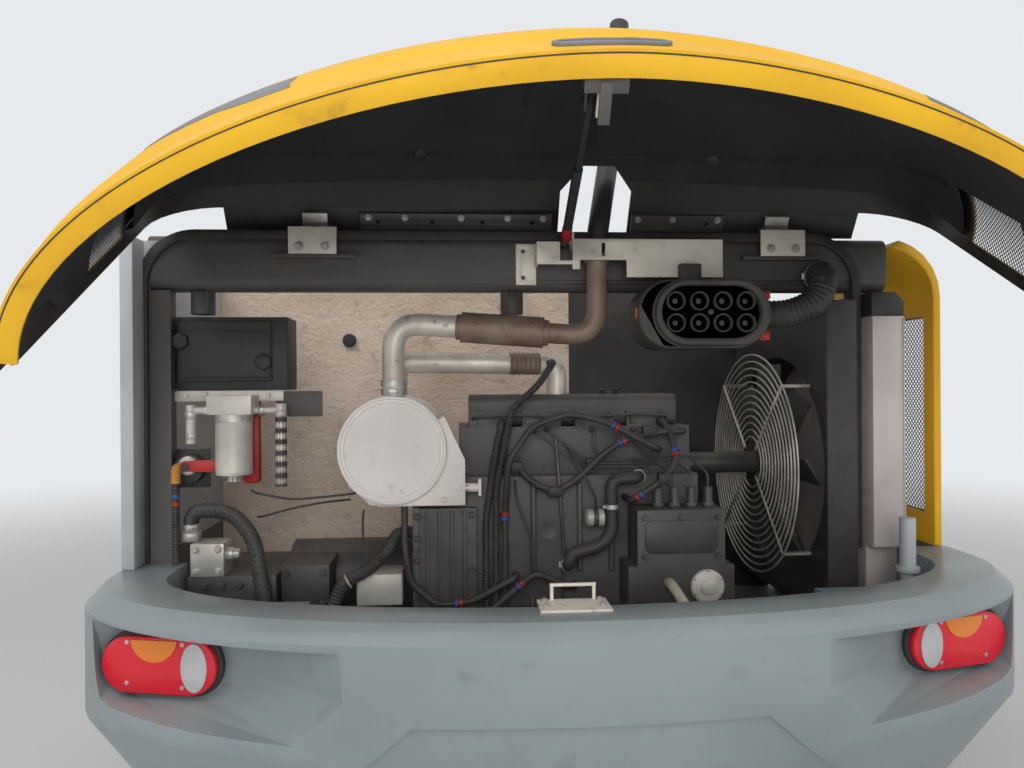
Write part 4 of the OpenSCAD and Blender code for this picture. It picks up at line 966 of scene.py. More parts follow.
@dataclass(frozen=True)
class HoodShape:
    """The hood's curved surface, by the same rule as the drawing's, in millimetres."""

    rim_half: float = 1045.0
    rim_depth: float = 560.0
    rim_power: float = 1.85
    rim_z: float = 14.0
    arch_half: float = 1060.0
    arch_corner: float = 165.0
    side_power: float = 2.25
    crease_depth: float = 9.0
    crease_angle: float = 5.0
    crease_run: float = 1.5
    crease_fade: float = 60.0
    hood_front: float = 592.0
    hood_top: float = 944.0
    hinge_y: float = 636.0
    hinge_z: float = 905.0
    angle: float = 58.0
    first_share: float = 0.04

    def arch_point(self, s: float, inset: float) -> tuple[float, float]:
        """Half width and height on the front edge's arch, at a share of its length."""
        corner, rise = self.arch_corner - inset, self.hood_top - self.rim_z - inset
        half = self.arch_half - inset
        side_run, bend = rise - corner, corner * math.pi / 2
        d = s * (side_run + bend + half - corner)
        if d < side_run:
            return half, d
        if d < side_run + bend:
            t = (d - side_run) / corner
            return half - corner * (1 - math.cos(t)), side_run + corner * math.sin(t)
        return half - corner - (d - side_run - bend), rise

    def crease(self, s: float, b: float) -> float:
        """How far the crease stands out."""
        past = max(0.0, b - self.crease_angle)
        fade = max(0.0, 1 - max(0.0, past - self.crease_run) / self.crease_fade)
        return self.crease_depth * min(1.0, s / 0.3) * min(1.0, past / self.crease_run) * fade

    def shut(self, s: float, b: float, inset: float) -> Vector:
        """Point of the shut hood.

        Args:
            s: Share along an arch, 0 at the left front end, 1 in the middle, 2 at the right end.
            b: Degrees from the rim, 0, to the front edge, 90.
            inset: Depth below the outer skin.

        Returns:
            The point in the drawing's millimetres.
        """
        side = -1 if s < 1 else 1
        share = self.first_share + (1 - self.first_share) * (s if s < 1 else 2 - s)
        deep = inset - self.crease(share, b)
        a = math.radians(90 * (1 - share))
        half, depth = self.rim_half - deep, self.rim_depth - deep
        rim_x = half * math.sin(a) ** (2 / self.rim_power)
        rim_y = depth * (1 - abs(math.cos(a)) ** (2 / self.rim_power))
        arch_x, arch_z = self.arch_point(share, deep)
        sine, cosine = math.sin(math.radians(b)), abs(math.cos(math.radians(b)))
        w = sine ** 2
        return Vector((side * ((1 - w) * rim_x + w * arch_x),
                       self.hood_front - (depth - rim_y) * cosine ** (2 / self.side_power),
                       self.rim_z + arch_z * sine ** (2 / self.side_power)))

    def opened(self, s: float, b: float, inset: float) -> Vector:
        """Point of the open hood in the drawing's millimetres; the values are those of shut."""
        return self.swing(self.shut(s, b, inset))

    def swing(self, point: Point) -> Vector:
        """Turns a point of the shut hood open about the hinge."""
        t = math.radians(self.angle)
        y, z = point[1] - self.hinge_y, point[2] - self.hinge_z
        return Vector((point[0], self.hinge_y + y * math.cos(t) + z * math.sin(t),
                       self.hinge_z - y * math.sin(t) + z * math.cos(t)))

    def side_point(self, side: int, y: float, z: float, inset: float) -> Vector:
        """Point of the shut hood's side at a place along the machine and a height, found by steps."""
        s, b = 0.2, 45.0
        for _ in range(20):
            p = self.shut(s, b, inset)
            ds, db = (self.shut(s + 0.002, b, inset) - p) / 0.002, (self.shut(s, b + 0.2, inset) - p) / 0.2
            det = ds.y * db.z - ds.z * db.y
            s = min(0.9, max(0.001, s + ((y - p.y) * db.z - (z - p.z) * db.y) / det))
            b = min(89.0, max(0.5, b + (ds.y * (z - p.z) - ds.z * (y - p.y)) / det))
        return Vector((side * abs(p.x), p.y, p.z))

    def turn(self, obj: Obj) -> Obj:
        """Turns a piece that was drawn shut open about the hinge."""
        pivot = at(0, self.hinge_y, self.hinge_z)
        obj.data.transform(Matrix.Translation(pivot) @ Matrix.Rotation(math.radians(-self.angle), 4, "X")
                           @ Matrix.Translation(-pivot))
        return obj


@dataclass
class Hood(Assembly):
    """Lifting hood: shell, foam panels, side vents, grip, bars, hinges and latch."""

    body: str = "hood"
    shape: HoodShape = HoodShape()
    skin: float = 8.0
    foam: float = 22.0
    notch_x: float = 125.0
    notch_half: float = 100.0
    notch_back: float = 461.0
    notch_taper: float = 75.0
    vent_low: tuple[float, float] = (432.0, 400.0)
    vent_high: tuple[float, float] = (562.0, 640.0)
    vent_reach: float = 195.0
    foam_rows: tuple[float, float] = (7.5, 82.5)
    foam_skip: float = 0.104
    joint_x: tuple[float, float] = (-90.0, 82.0)
    joint_y: float = 430.0
    joint_half: float = 7.0
    joint_depth: float = 13.0
    button_half: float = 24.0
    buttons: Sequence[tuple[float, float]] = ((0.62, 50.0), (1.42, 50.0), (0.8, 74.0), (1.24, 74.0))
    flap_half: float = 898.0
    flap_run: tuple[float, float] = (590.0, 671.0)
    stripe_low: tuple[float, float] = (5.8, 14.2)
    stripe_high: tuple[float, float] = (11.5, 8.5)
    stripe_run: tuple[float, float] = (0.60, 0.2375)

    def sheet(self, columns: int, rows: Sequence[float], skip: float,
              inset: Callable[[float, float], float]) -> Obj:
        """Curved sheet: a grid whose corners are carried onto the hood's surface.

        Args:
            columns: Faces across.
            rows: Degrees from the rim of each row.
            skip: Share left out at each side.
            inset: Depth below the skin at a place of the sheet.

        Returns:
            The opened sheet.
        """
        def place(u: float, v: float) -> Vector:
            """Point of the sheet in metres."""
            s, b = skip + (2 - 2 * skip) * u, rows[round(v * (len(rows) - 1))]
            return at(*self.shape.opened(s, b, inset(s, b)))

        return lay(grid(columns, len(rows) - 1), place)

    def cut(self, obj: Obj, *cutters: Obj) -> Obj:
        """Cuts cutters, drawn shut, out of an opened piece."""
        for cutter in cutters:
            self.shape.turn(cutter)
            modify(obj, "BOOLEAN", operation="DIFFERENCE", object=cutter, solver="EXACT")
            bpy.data.objects.remove(cutter)
        return obj

    def notch(self, grow: float = 0) -> Obj:
        """Cutter of the notch that the stack passes through."""
        w, back = self.notch_half + grow, self.notch_back - grow
        half = [(w * 0.42, back), (w, back + self.notch_taper), (w, 720)]
        outline = [(self.notch_x - x, y) for x, y in half[::-1]] + [(self.notch_x + x, y) for x, y in half]
        return prism(outline, (0, 0, 700), ACROSS, FORWARD, 400, 0)

    def vents(self, grow: float = 0) -> list[Obj]:
        """Cutters of the side vents."""
        low, high = self.vent_low, self.vent_high
        middles = [side.value * self.shape.rim_half for side in Side]
        return [box((x - self.vent_reach, low[0] - grow, low[1] - grow),
                    (x + self.vent_reach, high[0] + grow, high[1] + grow), 0) for x in middles]

    def shell(self) -> None:
        """Outer skin with its crease and front flap, and the dark coat on its inside."""
        rows = [0, 1.5, 3.5, 4.8, 5.0, 5.4, 5.9, 6.5, 6.9] + [8.5 + 81.5 * k / 34 for k in range(35)]
        for name, finish, slot, inset, thickness, low, high, replaced in (
                ("hood_skin", YELLOW, "", 0.4, 0.0045, 940, 943.8, "hood_shell"),
                ("hood_inner_coat", BLACK, "frame_black", 5.0, 0.0024, 936.5, 939.9, "")):
            skin = self.sheet(96, rows, 0.0, lambda s, b, inset=inset: inset)
            modify(skin, "SOLIDIFY", thickness=thickness, offset=-1.0)
            self.cut(skin, self.notch(), *self.vents())
            smooth(skin, 40)
            flap = box((-self.flap_half, self.flap_run[0], low), (self.flap_half, self.flap_run[1], high),
                       1.0)
            self.cut(flap, self.notch())
            self.put(name, finish, skin, self.shape.turn(flap), slot=slot, replaced=replaced)

    def stripes(self) -> None:
        """Dark tapered stripe between the crease and the upper edge, on both outer sides."""
        bands = []
        for side in Side:
            def place(u: float, v: float, way: int = side.value) -> Vector:
                """Point of the stripe; its edges in degrees part towards the front."""
                u = 0.02 + 0.98 * u
                low = self.stripe_low[0] + self.stripe_low[1] * (1 - u) ** 3
                high = self.stripe_high[0] + self.stripe_high[1] * (1 - u)
                s = 1 + way * (self.stripe_run[0] - self.stripe_run[1] * u)
                return at(*self.shape.opened(s, low + (high - low) * v, -0.2))

            bands.append(modify(lay(grid(28, 20), place), "SOLIDIFY", thickness=0.0008, offset=0.0))
        self.put("hood_stripes", GRIP_GREY, *bands)

    def rim(self) -> None:
        """Inward flange along the rim."""
        shape = self.shape
        lines = []
        for inset in (1.0, 41.0):
            half, depth = shape.rim_half - inset, shape.rim_depth - inset
            turns = [math.radians(-84 + 168 * k / 60) for k in range(61)]
            lines.append([(half * math.copysign(abs(math.sin(a)) ** (2 / shape.rim_power), a),
                           depth * (1 - math.cos(a) ** (2 / shape.rim_power)) + inset + 32) for a in turns])
        flange = prism(lines[0] + lines[1][::-1], (0, 0, shape.rim_z + 0.4), ACROSS, FORWARD, 6.5, 1.5)
        self.put("hood_rim_flange", YELLOW_INSIDE, shape.turn(flange))

    def foam_inset(self, s: float, b: float) -> float:
        """Depth of the foam's face: padded between its joints, with dents at the buttons."""
        p = self.shape.shut(s, b, self.skin + self.foam)
        sunk = 0.0
        for x in self.joint_x:
            if p.y < self.joint_y + 6 and p.z > 190:
                sunk = max(sunk, math.exp(-((p.x - x) / self.joint_half) ** 2))
        sunk = max(sunk, math.exp(-((p.y - self.joint_y) / self.joint_half) ** 2) if p.z > 700 else 0.0)
        for button in self.buttons:
            q = self.shape.shut(*button, self.skin + self.foam)
            sunk = max(sunk, 0.7 * math.exp(-((p - q).length / self.button_half) ** 2))
        wave = 1.6 * math.sin(p.x * 0.021 + 1) * math.sin(p.y * 0.017 + p.z * 0.013)
        return self.skin + self.foam - 2.0 - self.joint_depth * sunk + wave

    def lining(self) -> None:
        """Foam panels with padded edges and buttons."""
        first, last = self.foam_rows
        rows = [first + (last - first) * k / 70 for k in range(71)]

        def depth(s: float, b: float) -> float:
            """The foam's face, turned down to the skin along its edges."""
            edge = min(b - first, last - b, 60 * (s - self.foam_skip), 60 * (2 - self.foam_skip - s))
            return self.skin + 1 if edge < 0.2 else self.foam_inset(s, b)

        foam = self.sheet(190, rows, 0.1, depth)
        modify(foam, "SOLIDIFY", thickness=0.001, offset=0.0)
        self.cut(foam, self.notch(12), *self.vents(10), box((6, 60, 546), (58, 300, 634), 0))
        self.put("hood_foam", FOAM, smooth(foam, 60), replaced="hood_lining")
        caps = []
        for button in self.buttons:
            p, inner = (self.shape.opened(*button, self.skin + self.foam + d) for d in (-7, 20))
            caps.append(turned(p, inner - p, [(0, 16), (2, 16), (4, 11), (4.5, 2)], 20))
        self.put("hood_foam_buttons", BLACK, *caps, slot="foam")

    def small_parts(self) -> None:
        """Vents' mesh, grip, bars, hinge leaves, latch and stay bracket."""
        (y, z), (y1, z1), shape = self.vent_low, self.vent_high, self.shape
        screens = [wire_mesh(12, 22, 2.4, lambda u, v, way=side.value: at(*shape.swing(shape.side_point(
            way, y - 5 + u * (y1 - y + 10), z - 5 + v * (z1 - z + 10), self.skin + 2)))) for side in Side]
        self.put("hood_vent_mesh", BLACK, *screens, replaced="hood_side_grilles")
        self.round_off(GRIP_GREY, 1.0, "hood_grip")
        self.round_off(FRAME_BLACK, 1.5, "hood_front_bars")
        self.round_off(STEEL, 1.0, "hood_hinge_leaves", slot="zinc")
        self.round_off(FRAME_BLACK, 0.8, "hood_latch", slot="zinc")
        self.round_off(FRAME_BLACK, 1.0, "stay_head_bracket", slot="stay_black")
        for name, x0, x1 in (("left", -530, 5), ("right", 232, 500)):
            lip = box((x0, 634, 914), (x1, 640, 922), 1.5)
            self.put(f"hood_bar_lip_{name}", FRAME_BLACK, shape.turn(lip))
        seats = [(x, 612, 921.6) for x in (-505, -405, -250, -120, -20, 250, 350, 480)]
        self.put("hood_bar_bolts", STEEL, shape.turn(bolts(seats, DOWN, 7)), slot="zinc")
        hook = box((-52.6, 80, 34.2), (-33.4, 134, 41.6), 1.5)
        latch = bolts([(x, 76, 40) for x in (-66, -18)], DOWN, 5)
        self.put("hood_latch_hook", ZINC, shape.turn(hook), shape.turn(latch))

    def hinge_bases(self) -> None:
        """Hinge bases with their zinc blocks' bolts."""
        self.round_off(FRAME_BLACK, 1.2, "hood_hinge_bases", body="tail")
        for side in Side:
            x, name = side.value * 649, side.name.lower()
            block = box((x - 64, 584.0, 815), (x + 64, 599.5, 898), 1.5)
            self.put(f"hinge_block_{name}", ZINC, block, body="tail")
            self.bolted(f"hinge_bolts_{name}", STEEL, [(x + d, 584, 845) for d in (-35, 35)], 9,
                        slot="zinc", body="tail")

    def build(self) -> None:
        """Builds the hood's pieces."""
        for step in (self.shell, self.rim, self.stripes, self.lining, self.small_parts, self.hinge_bases):
            step()


@dataclass
class HoodStay(Assembly):
    """Two-part stay and the zinc bracket that carries it."""

    def build(self) -> None:
        """Builds the bracket, tube and rod."""
        self.round_off(ZINC, 1.2, "stay_bracket")
        for body in ("stay_tube", "stay_rod"):
            self.round_off(BLACK, 1.0, body, slot="stay_black", body=body)
        sleeve = turned((32, 572, 856), (0, -0.867, 0.498), [(15, 12.9), (17, 13.7), (60, 13.7),
                                                             (62, 12.9)], 28)
        self.put("stay_sleeve", RED_PLASTIC, sleeve, slot="stay_black", body="stay_tube")


# What stands in the bay


@dataclass
class Engine(Assembly):
    """Engine block, head, flywheel housing and injection pump, with their fasteners and lines."""

    rear: float = 640.0
    left: float = -280.0
    right: float = 420.0
    port_pitch: float = 150.0
    cover_top: float = 440.0
    valve_x: float = 283.0
    valve_pitch: float = 47.0
    line_foot: float = 179.3
    line_ends: Sequence[Sequence[Point]] = (
        ((100, 628, 238), (52, 628, 262), (-47, 628, 340), (-47, 659.7, 340)),
        ((116, 628, 247), (92, 628, 256), (-12, 628, 343), (-12, 659.7, 343)),
        ((140, 628, 256), (118, 628, 290), (118, 628, 340), (118, 659.7, 340)),
        ((270, 628, 265), (236, 628, 300), (236, 628, 340), (236, 659.7, 340)),
    )

    def block(self) -> None:
        """Block with core plugs, an oil pan rim, flange bolts and the housing's ribs."""
        self.round_off(CAST, 5.0, "engine_block", "flywheel_housing")
        self.put("engine_core_plugs", CAST, *[
            turned((x, 640.2, 60), BACK, [(0, 27), (2, 27), (2, 21), (0.5, 18), (0.5, 4)], 24)
            for x in (-150, -10, 130)])
        self.put("oil_pan_rim", CAST, box((self.left + 2, self.rear - 12, -164),
                                          (self.right - 2, self.rear + 2, -154), 2))
        self.bolted("oil_pan_bolts", DULL, [(x, 628, -159) for x in range(-262, 190, 56)], 6)
        housing = [(-376, 605.7, z) for z in range(-130, 111, 60)] + [(-226, 613.7, z) for z in (-120, -40,
                                                                                                 40, 112)]
        self.bolted("housing_bolts", DULL, housing, slot="engine_paint")
        self.put("housing_ribs", CAST, *[box((x, 606, -140), (x + 8, 615, 124), 3) for x in range(-352,
                                                                                                  -249,
                                                                                                  34)])

    def head(self) -> None:
        """Head with its ports, cover bolts, rails and filler cap."""
        self.round_off(CAST, 5.0, "cylinder_head")
        self.bolted("head_bolts", DULL, [(x, 659.8, 232) for x in range(-240, 400, 75)],
                    slot="engine_paint")
        starts = [self.left + self.port_pitch * i for i in range(4)]
        ports = [(x + d, 662, z) for x in starts for d, z in ((64, 364), (146, 380))]
        self.bolted("port_bolts", DULL, ports, slot="engine_paint")
        strips = [box((x + 56, 657, 372), (x + 154, 662.5, 390), 2) for x in starts]
        self.put("port_gasket_strips", DULL, *strips)
        cap = turned((190, 780, self.cover_top - 1), UP,
                     [(0, 30), (14, 30), (18, 26), (18, 8), (26, 7), (26, 1)], 24, 1)
        self.put("oil_filler_cap", PLASTIC, cap, slot="pump_black")
        cover = [(x, 700, 410) for x in (-210, -90, 30, 150, 270, 350)]
        self.bolted("cover_bolts", DULL, cover, 7, slot="engine_paint")

    def valve_places(self) -> list[float]:
        """Where the pump's four delivery valves stand across the bay."""
        return [self.valve_x + self.valve_pitch * i for i in range(4)]

    def pump(self) -> None:
        """Injection pump with valve unions, governor cover, solenoid and plugs."""
        self.round_off(PUMP_BLACK, 4.0, "injection_pump")
        self.put("valve_unions", DULL, *[
            turned((x, 570, z), UP, steps, 6, 0.8) for x in self.valve_places()
            for z, steps in ((131, [(0, 17), (12, 17)]), (160, [(0, 13.5), (14, 13.5), (20, 9)]))])
        cover = [(x, 519.7, z) for x in (235, 435) for z in (5, 110)] + [(335, 519.7, 110)]
        self.bolted("pump_cover_bolts", DULL, cover, 7)
        plate = prism([(-88, -44), (88, -44), (100, -30), (100, 30), (88, 44), (-88, 44), (-100, 30),
                       (-100, -30)],
                      (335, 519.8, 58), ACROSS, UP, 5, 1.5)
        self.put("pump_side_cover", PUMP_BLACK, plate)
        cap = turned((404, 519.8, -76), BACK, [(0, 46), (7, 46), (12, 40), (12, 22), (18, 18), (18, 4)], 28,
                     1)
        self.put("governor_cap", ALUMINIUM, cap)
        turns = [math.radians(a) for a in range(30, 390, 60)]
        self.bolted("governor_bolts", DULL, [(x, 513, z) for x, z in around(404, -76, 38, 38, turns)], 4.5)
        coil = turned((90, 612, 98), ACROSS, [(0, 10), (0.1, 20), (4, 24.6), (20, 24.6), (21, 22), (34, 22),
                                              (35, 24.6), (50, 24.6), (53, 20), (53, 8), (66, 7), (66, 2)],
                                              28)
        self.put("stop_solenoid_can", ALUMINIUM, coil)
        plugs = [turned((222, 639.8, -43), BACK, [(0, 13), (10, 13), (10, 9), (16, 8)], 16, 0.8),
                 turned((222, 529.8, -112), BACK, [(0, 12), (12, 11), (14, 8)], 6, 0.8)]
        self.put("pump_plugs", PLASTIC, *plugs, slot="pump_black")

    def lines(self) -> None:
        """Injection lines with their nuts, the clamp, leak-off line and dipstick."""
        pipes, nuts = [], []
        for i, (x, end) in enumerate(zip(self.valve_places(), self.line_ends)):
            start = ((x, 570, self.line_foot), (x, 570, 222), (x - 40, 628, 238 + i * 9))
            pipes.append(tube((*start, *end), 3.5, 14, 10))
            nuts.append(turned((end[-1][0], 661, end[-1][2]), BACK, [(0, 9), (12, 9), (18, 6)], 6, 0.6))
        self.put("injection_pipes", DULL, *pipes, replaced="injection_lines")
        self.put("injection_nuts", DULL, *nuts)
        self.put("injection_clamp", PLASTIC, box((96, 620, 228), (132, 636, 262), 2), slot="pump_black")
        self.put("leak_off_line", HOSE, tube((
            (-220, 656, 372), (-220, 646, 380), (-100, 646, 384), (60, 646, 376), (240, 646, 384),
            (330, 646, 380), (330, 656, 372)), 4, 10, 10))
        self.put("dipstick_tube", DULL, tube(
            ((30, 632, -150), (30, 628, 20), (20, 620, 160), (10, 640, 330)), 5, 30, 10))
        self.put("dipstick_wire", DULL, tube(
            ((-62, 592, -112), (-62, 584, -150), (-30, 584, -160), (28, 590, -120), (28, 612, -104)), 3, 14,
            8))

    def build(self) -> None:
        """Builds the engine's pieces."""
        for step in (self.block, self.head, self.pump, self.lines):
            step()
        self.round_off(PUMP_BLACK, 2.0, "fan_drive")
        collar = turned((421, 915, 215), ACROSS,
                        [(0, 60), (14, 60), (14, 40), (30, 38), (30, 62), (44, 62), (46, 36)], 32)
        self.put("fan_pulley", DULL, collar)


@dataclass
class Cooling(Assembly):
    """Fan, guard, shroud and radiator."""

    radiator_x: float = 892.0
    radiator_y: float = 562.0
    wide: float = 96.0

    def build(self) -> None:
        """Builds the cooling pieces."""
        self.round_off(FAN_BLACK, 0.8, "fan", body="fan")
        rivets = [(716, y, z) for y, z in around(915, 215, 46, 46, even_turns(6))]
        self.bolted("fan_bolts", STEEL, rivets, 7, (-1, 0, 0), slot="fan_plastic", body="fan")
        self.round_off(GUARD_WIRE, 0.0, "fan_guard")
        self.round_off(FAN_BLACK, 4.0, "fan_shroud", slot="shroud_plastic")
        self.round_off(RADIATOR, 5.0, "radiator")
        self.round_off(PLASTIC, 5.0, "radiator_top_tank", slot="shroud_plastic")
        self.round_off(POST_GREY, 1.0, "overflow_pipe")
        y = self.radiator_y
        folds = [box((x, y - 3, 12), (x + 5, y + 8, 650), 2)
                 for x in (self.radiator_x + 1, self.radiator_x + self.wide - 6)]
        self.put("radiator_folds", RADIATOR, *folds)
        route = ((240, 639.7, 210), (240, 598, 210), (160, 598, 205), (163, 598, 60), (128, 598, 20),
                 (48, 598, 2), (40, 598, -32), (40, 639.7, -32))
        self.put("coolant_hose_bent", HOSE, tube(route, 18, 30, 20), replaced="coolant_hose")
        self.put("coolant_clamps", STEEL, *[hose_clamp(place, way, 18.4) for place, way in (
            ((240, 616, 210), FORWARD), ((40, 616, -32), FORWARD), ((161.5, 598, 130), UP))])


@dataclass
class Exhaust(Assembly):
    """Silencer, its bracket, pipes, ribbed sleeves and stack."""

    centre: Point = (-440, 570, 295)
    radius: float = 146.0
    pipe: float = 28.0
    cuff: tuple[float, float] = (31.0, 35.5)
    brown_from: float = 300.0
    sleeve_run: tuple[float, float] = (192.0, 418.0)
    outlet: Sequence[Point] = ((-440, 640, 441.3), (-440, 640, 644), (118, 566, 600), (118, 566, 812))
    inlet: Sequence[Point] = ((-438, 735, 441.3), (-438, 735, 536), (30, 760, 530), (30, 760, 440.3))
    stack: Sequence[Point] = ((118, 566, 812.3), (118, 566, 860), (127, 570, 915), (170, 650, 1110),
                              (235, 800, 1560))

    def build(self) -> None:
        """Builds the exhaust."""
        for step in (self.silencer, self.pipes, self.riser):
            step()

    def silencer(self) -> None:
        """Drum with a pressed end, a rolled rim and the bracket behind its rim."""
        r = self.radius
        drum = turned(self.centre, FORWARD, [
            (8, 8), (8, 118), (7, 122), (7, 127), (4, 130), (4, 136), (1, 138.5), (0.3, 141), (1, r - 0.6),
            (9, r), (11, r - 3), (286, r - 3), (290, r), (297, r), (299.5, r - 6), (292, r - 14),
            (296, 90)], 72)
        self.put("silencer_drum", SILENCER, drum, replaced="silencer")
        strap = band((-440, 650, 295), FORWARD, r - 3, r - 0.2, 30, 72, 0.5)
        self.put("silencer_strap", STEEL, strap, slot="silencer_white")
        self.round_off(SILENCER, 1.2, "silencer_bracket")
        self.bolted("silencer_bolts", STEEL, [(-262, 590, 190), (-300, 590, 160)], 7)
        stand = turned((-243.5, 606, 188), ACROSS, [(0, 13), (9, 13), (9, 10), (36, 10)], 6, 0.6)
        self.put("silencer_stand_off", HEAT_STEEL, stand)

    def pipes(self) -> None:
        """Silver first leg, ribbed sleeve, browned second leg, and the pipe from the head."""
        route = rounded_route(self.outlet, 80, 10)
        corner = Vector(self.outlet[1])
        way = (Vector(self.outlet[2]) - corner).normalized()
        split = corner + way * self.brown_from
        before = [p for p in route if p.x < split.x] + [split]
        after = [split] + [p for p in route if p.x > split.x]
        self.put("outlet_pipe", SILVER_PIPE, tube(before, self.pipe + 3, 0.1, 28, steps=1),
                 replaced="exhaust_pipes")
        brown = tube(after, self.pipe, 0.1, 28, steps=1)
        flange = band((118, 566, 800.3), UP, 20, 33.6, 11.7, lip=0.1, round_by=0.8)
        self.put("riser_pipe", HEAT_STEEL, brown, flange)
        self.put("inlet_pipe", SILVER_PIPE, tube(self.inlet, self.pipe + 2, 60, 28))
        start, end = (corner + way * run for run in self.sleeve_run)
        sleeve = tube((start, end), 43.5, 1, 32, wave=0.05, pitch=10)
        inner, outer = self.cuff
        cuffs = [turned(foot, turn, [(0, inner), (0.3, outer), (26, outer), (30, 41)], 32)
                 for foot, turn in ((start - way * 14, way), (end + way * 14, -way))]
        self.put("flexible_sleeve", HEAT_STEEL, sleeve, *cuffs, replaced="exhaust_sleeve")
        lower = tube(((-110, 752.5, 531.8), (-20, 757, 530.6)), 34, 1, 28, wave=0.10, pitch=14)
        self.put("inlet_sleeve", HEAT_STEEL, lower)
        bands = [band((-440, 640, z), UP, inner, outer, 17.3) for z in (444, 468)]
        lugs = [box((-452, 600, 446), (-428, 612, 460), 1.5),
                rod((-458, 606, 453), (-422, 606, 453), 4, 10)]
        self.put("outlet_clamp", STEEL, *bands, *lugs)

    def riser(self) -> None:
        """Stack with its mounting ring."""
        self.put("stack_pipe", BLACK, tube(self.stack, 29, 60, 32), slot="stack_black",
                 replaced="exhaust_stack")
        ring = turned((118, 566, 813), UP, [(0, 30), (0.2, 33.8), (9, 33.8), (9.2, 29.5)], 32, 0.5)
        self.put("stack_flange", HEAT_STEEL, ring, slot="stack_black")
        heads = [(x, y, 822) for x, y in around(118, 566, 27, 27, (0.6, 2.2, 3.8, 5.4))]
        self.bolted("stack_bolts", STEEL, heads, 4.5, UP)


@dataclass
class AirIntake(Assembly):
    """Pre-cleaner with its cyclone tubes, clips, and the corrugated intake hose."""

    hose: Sequence[Point] = ((552.3, 530, 655), (640, 530, 655), (722, 530, 690), (750, 536, 768),
                             (750, 611.7, 768))

    def build(self) -> None:
        """Builds the air intake."""
        self.round_off(DUSTY_PLASTIC, 5.0, "air_precleaner")
        self.round_off(DUSTY_PLASTIC, 0.5, "cyclone_tubes")
        for name, low, high in (("upper", (531, 462, 690), (562, 486, 713)),
                                ("lower", (531, 462, 582), (560, 486, 606))):
            latch = box((low[0] + 4, 455, low[2] + 5), (high[0] - 6, 463, high[2] - 5), 2)
            self.put(f"precleaner_clip_{name}", RED_PLASTIC, box(low, high, 4), latch)
        self.put("precleaner_clip_left", AMBER_PLASTIC, box((203, 462, 641), (224, 484, 668), 4))
        hose = tube(self.hose, 39.6, 60, 28, wave=0.12, pitch=15)
        self.put("intake_hose_ribbed", HOSE, hose, replaced="intake_hose")
        cuff = turned((553, 530, 655), ACROSS, [(0, 36), (0.2, 39.8), (30, 39.8), (30.4, 36)], 32, 0.8)
        self.put("intake_cuff", PLASTIC, cuff)
        self.put("intake_clamps", STEEL, hose_clamp((566, 530, 655), ACROSS, 38.6),
                 hose_clamp((750, 590, 768), FORWARD, 38.6))


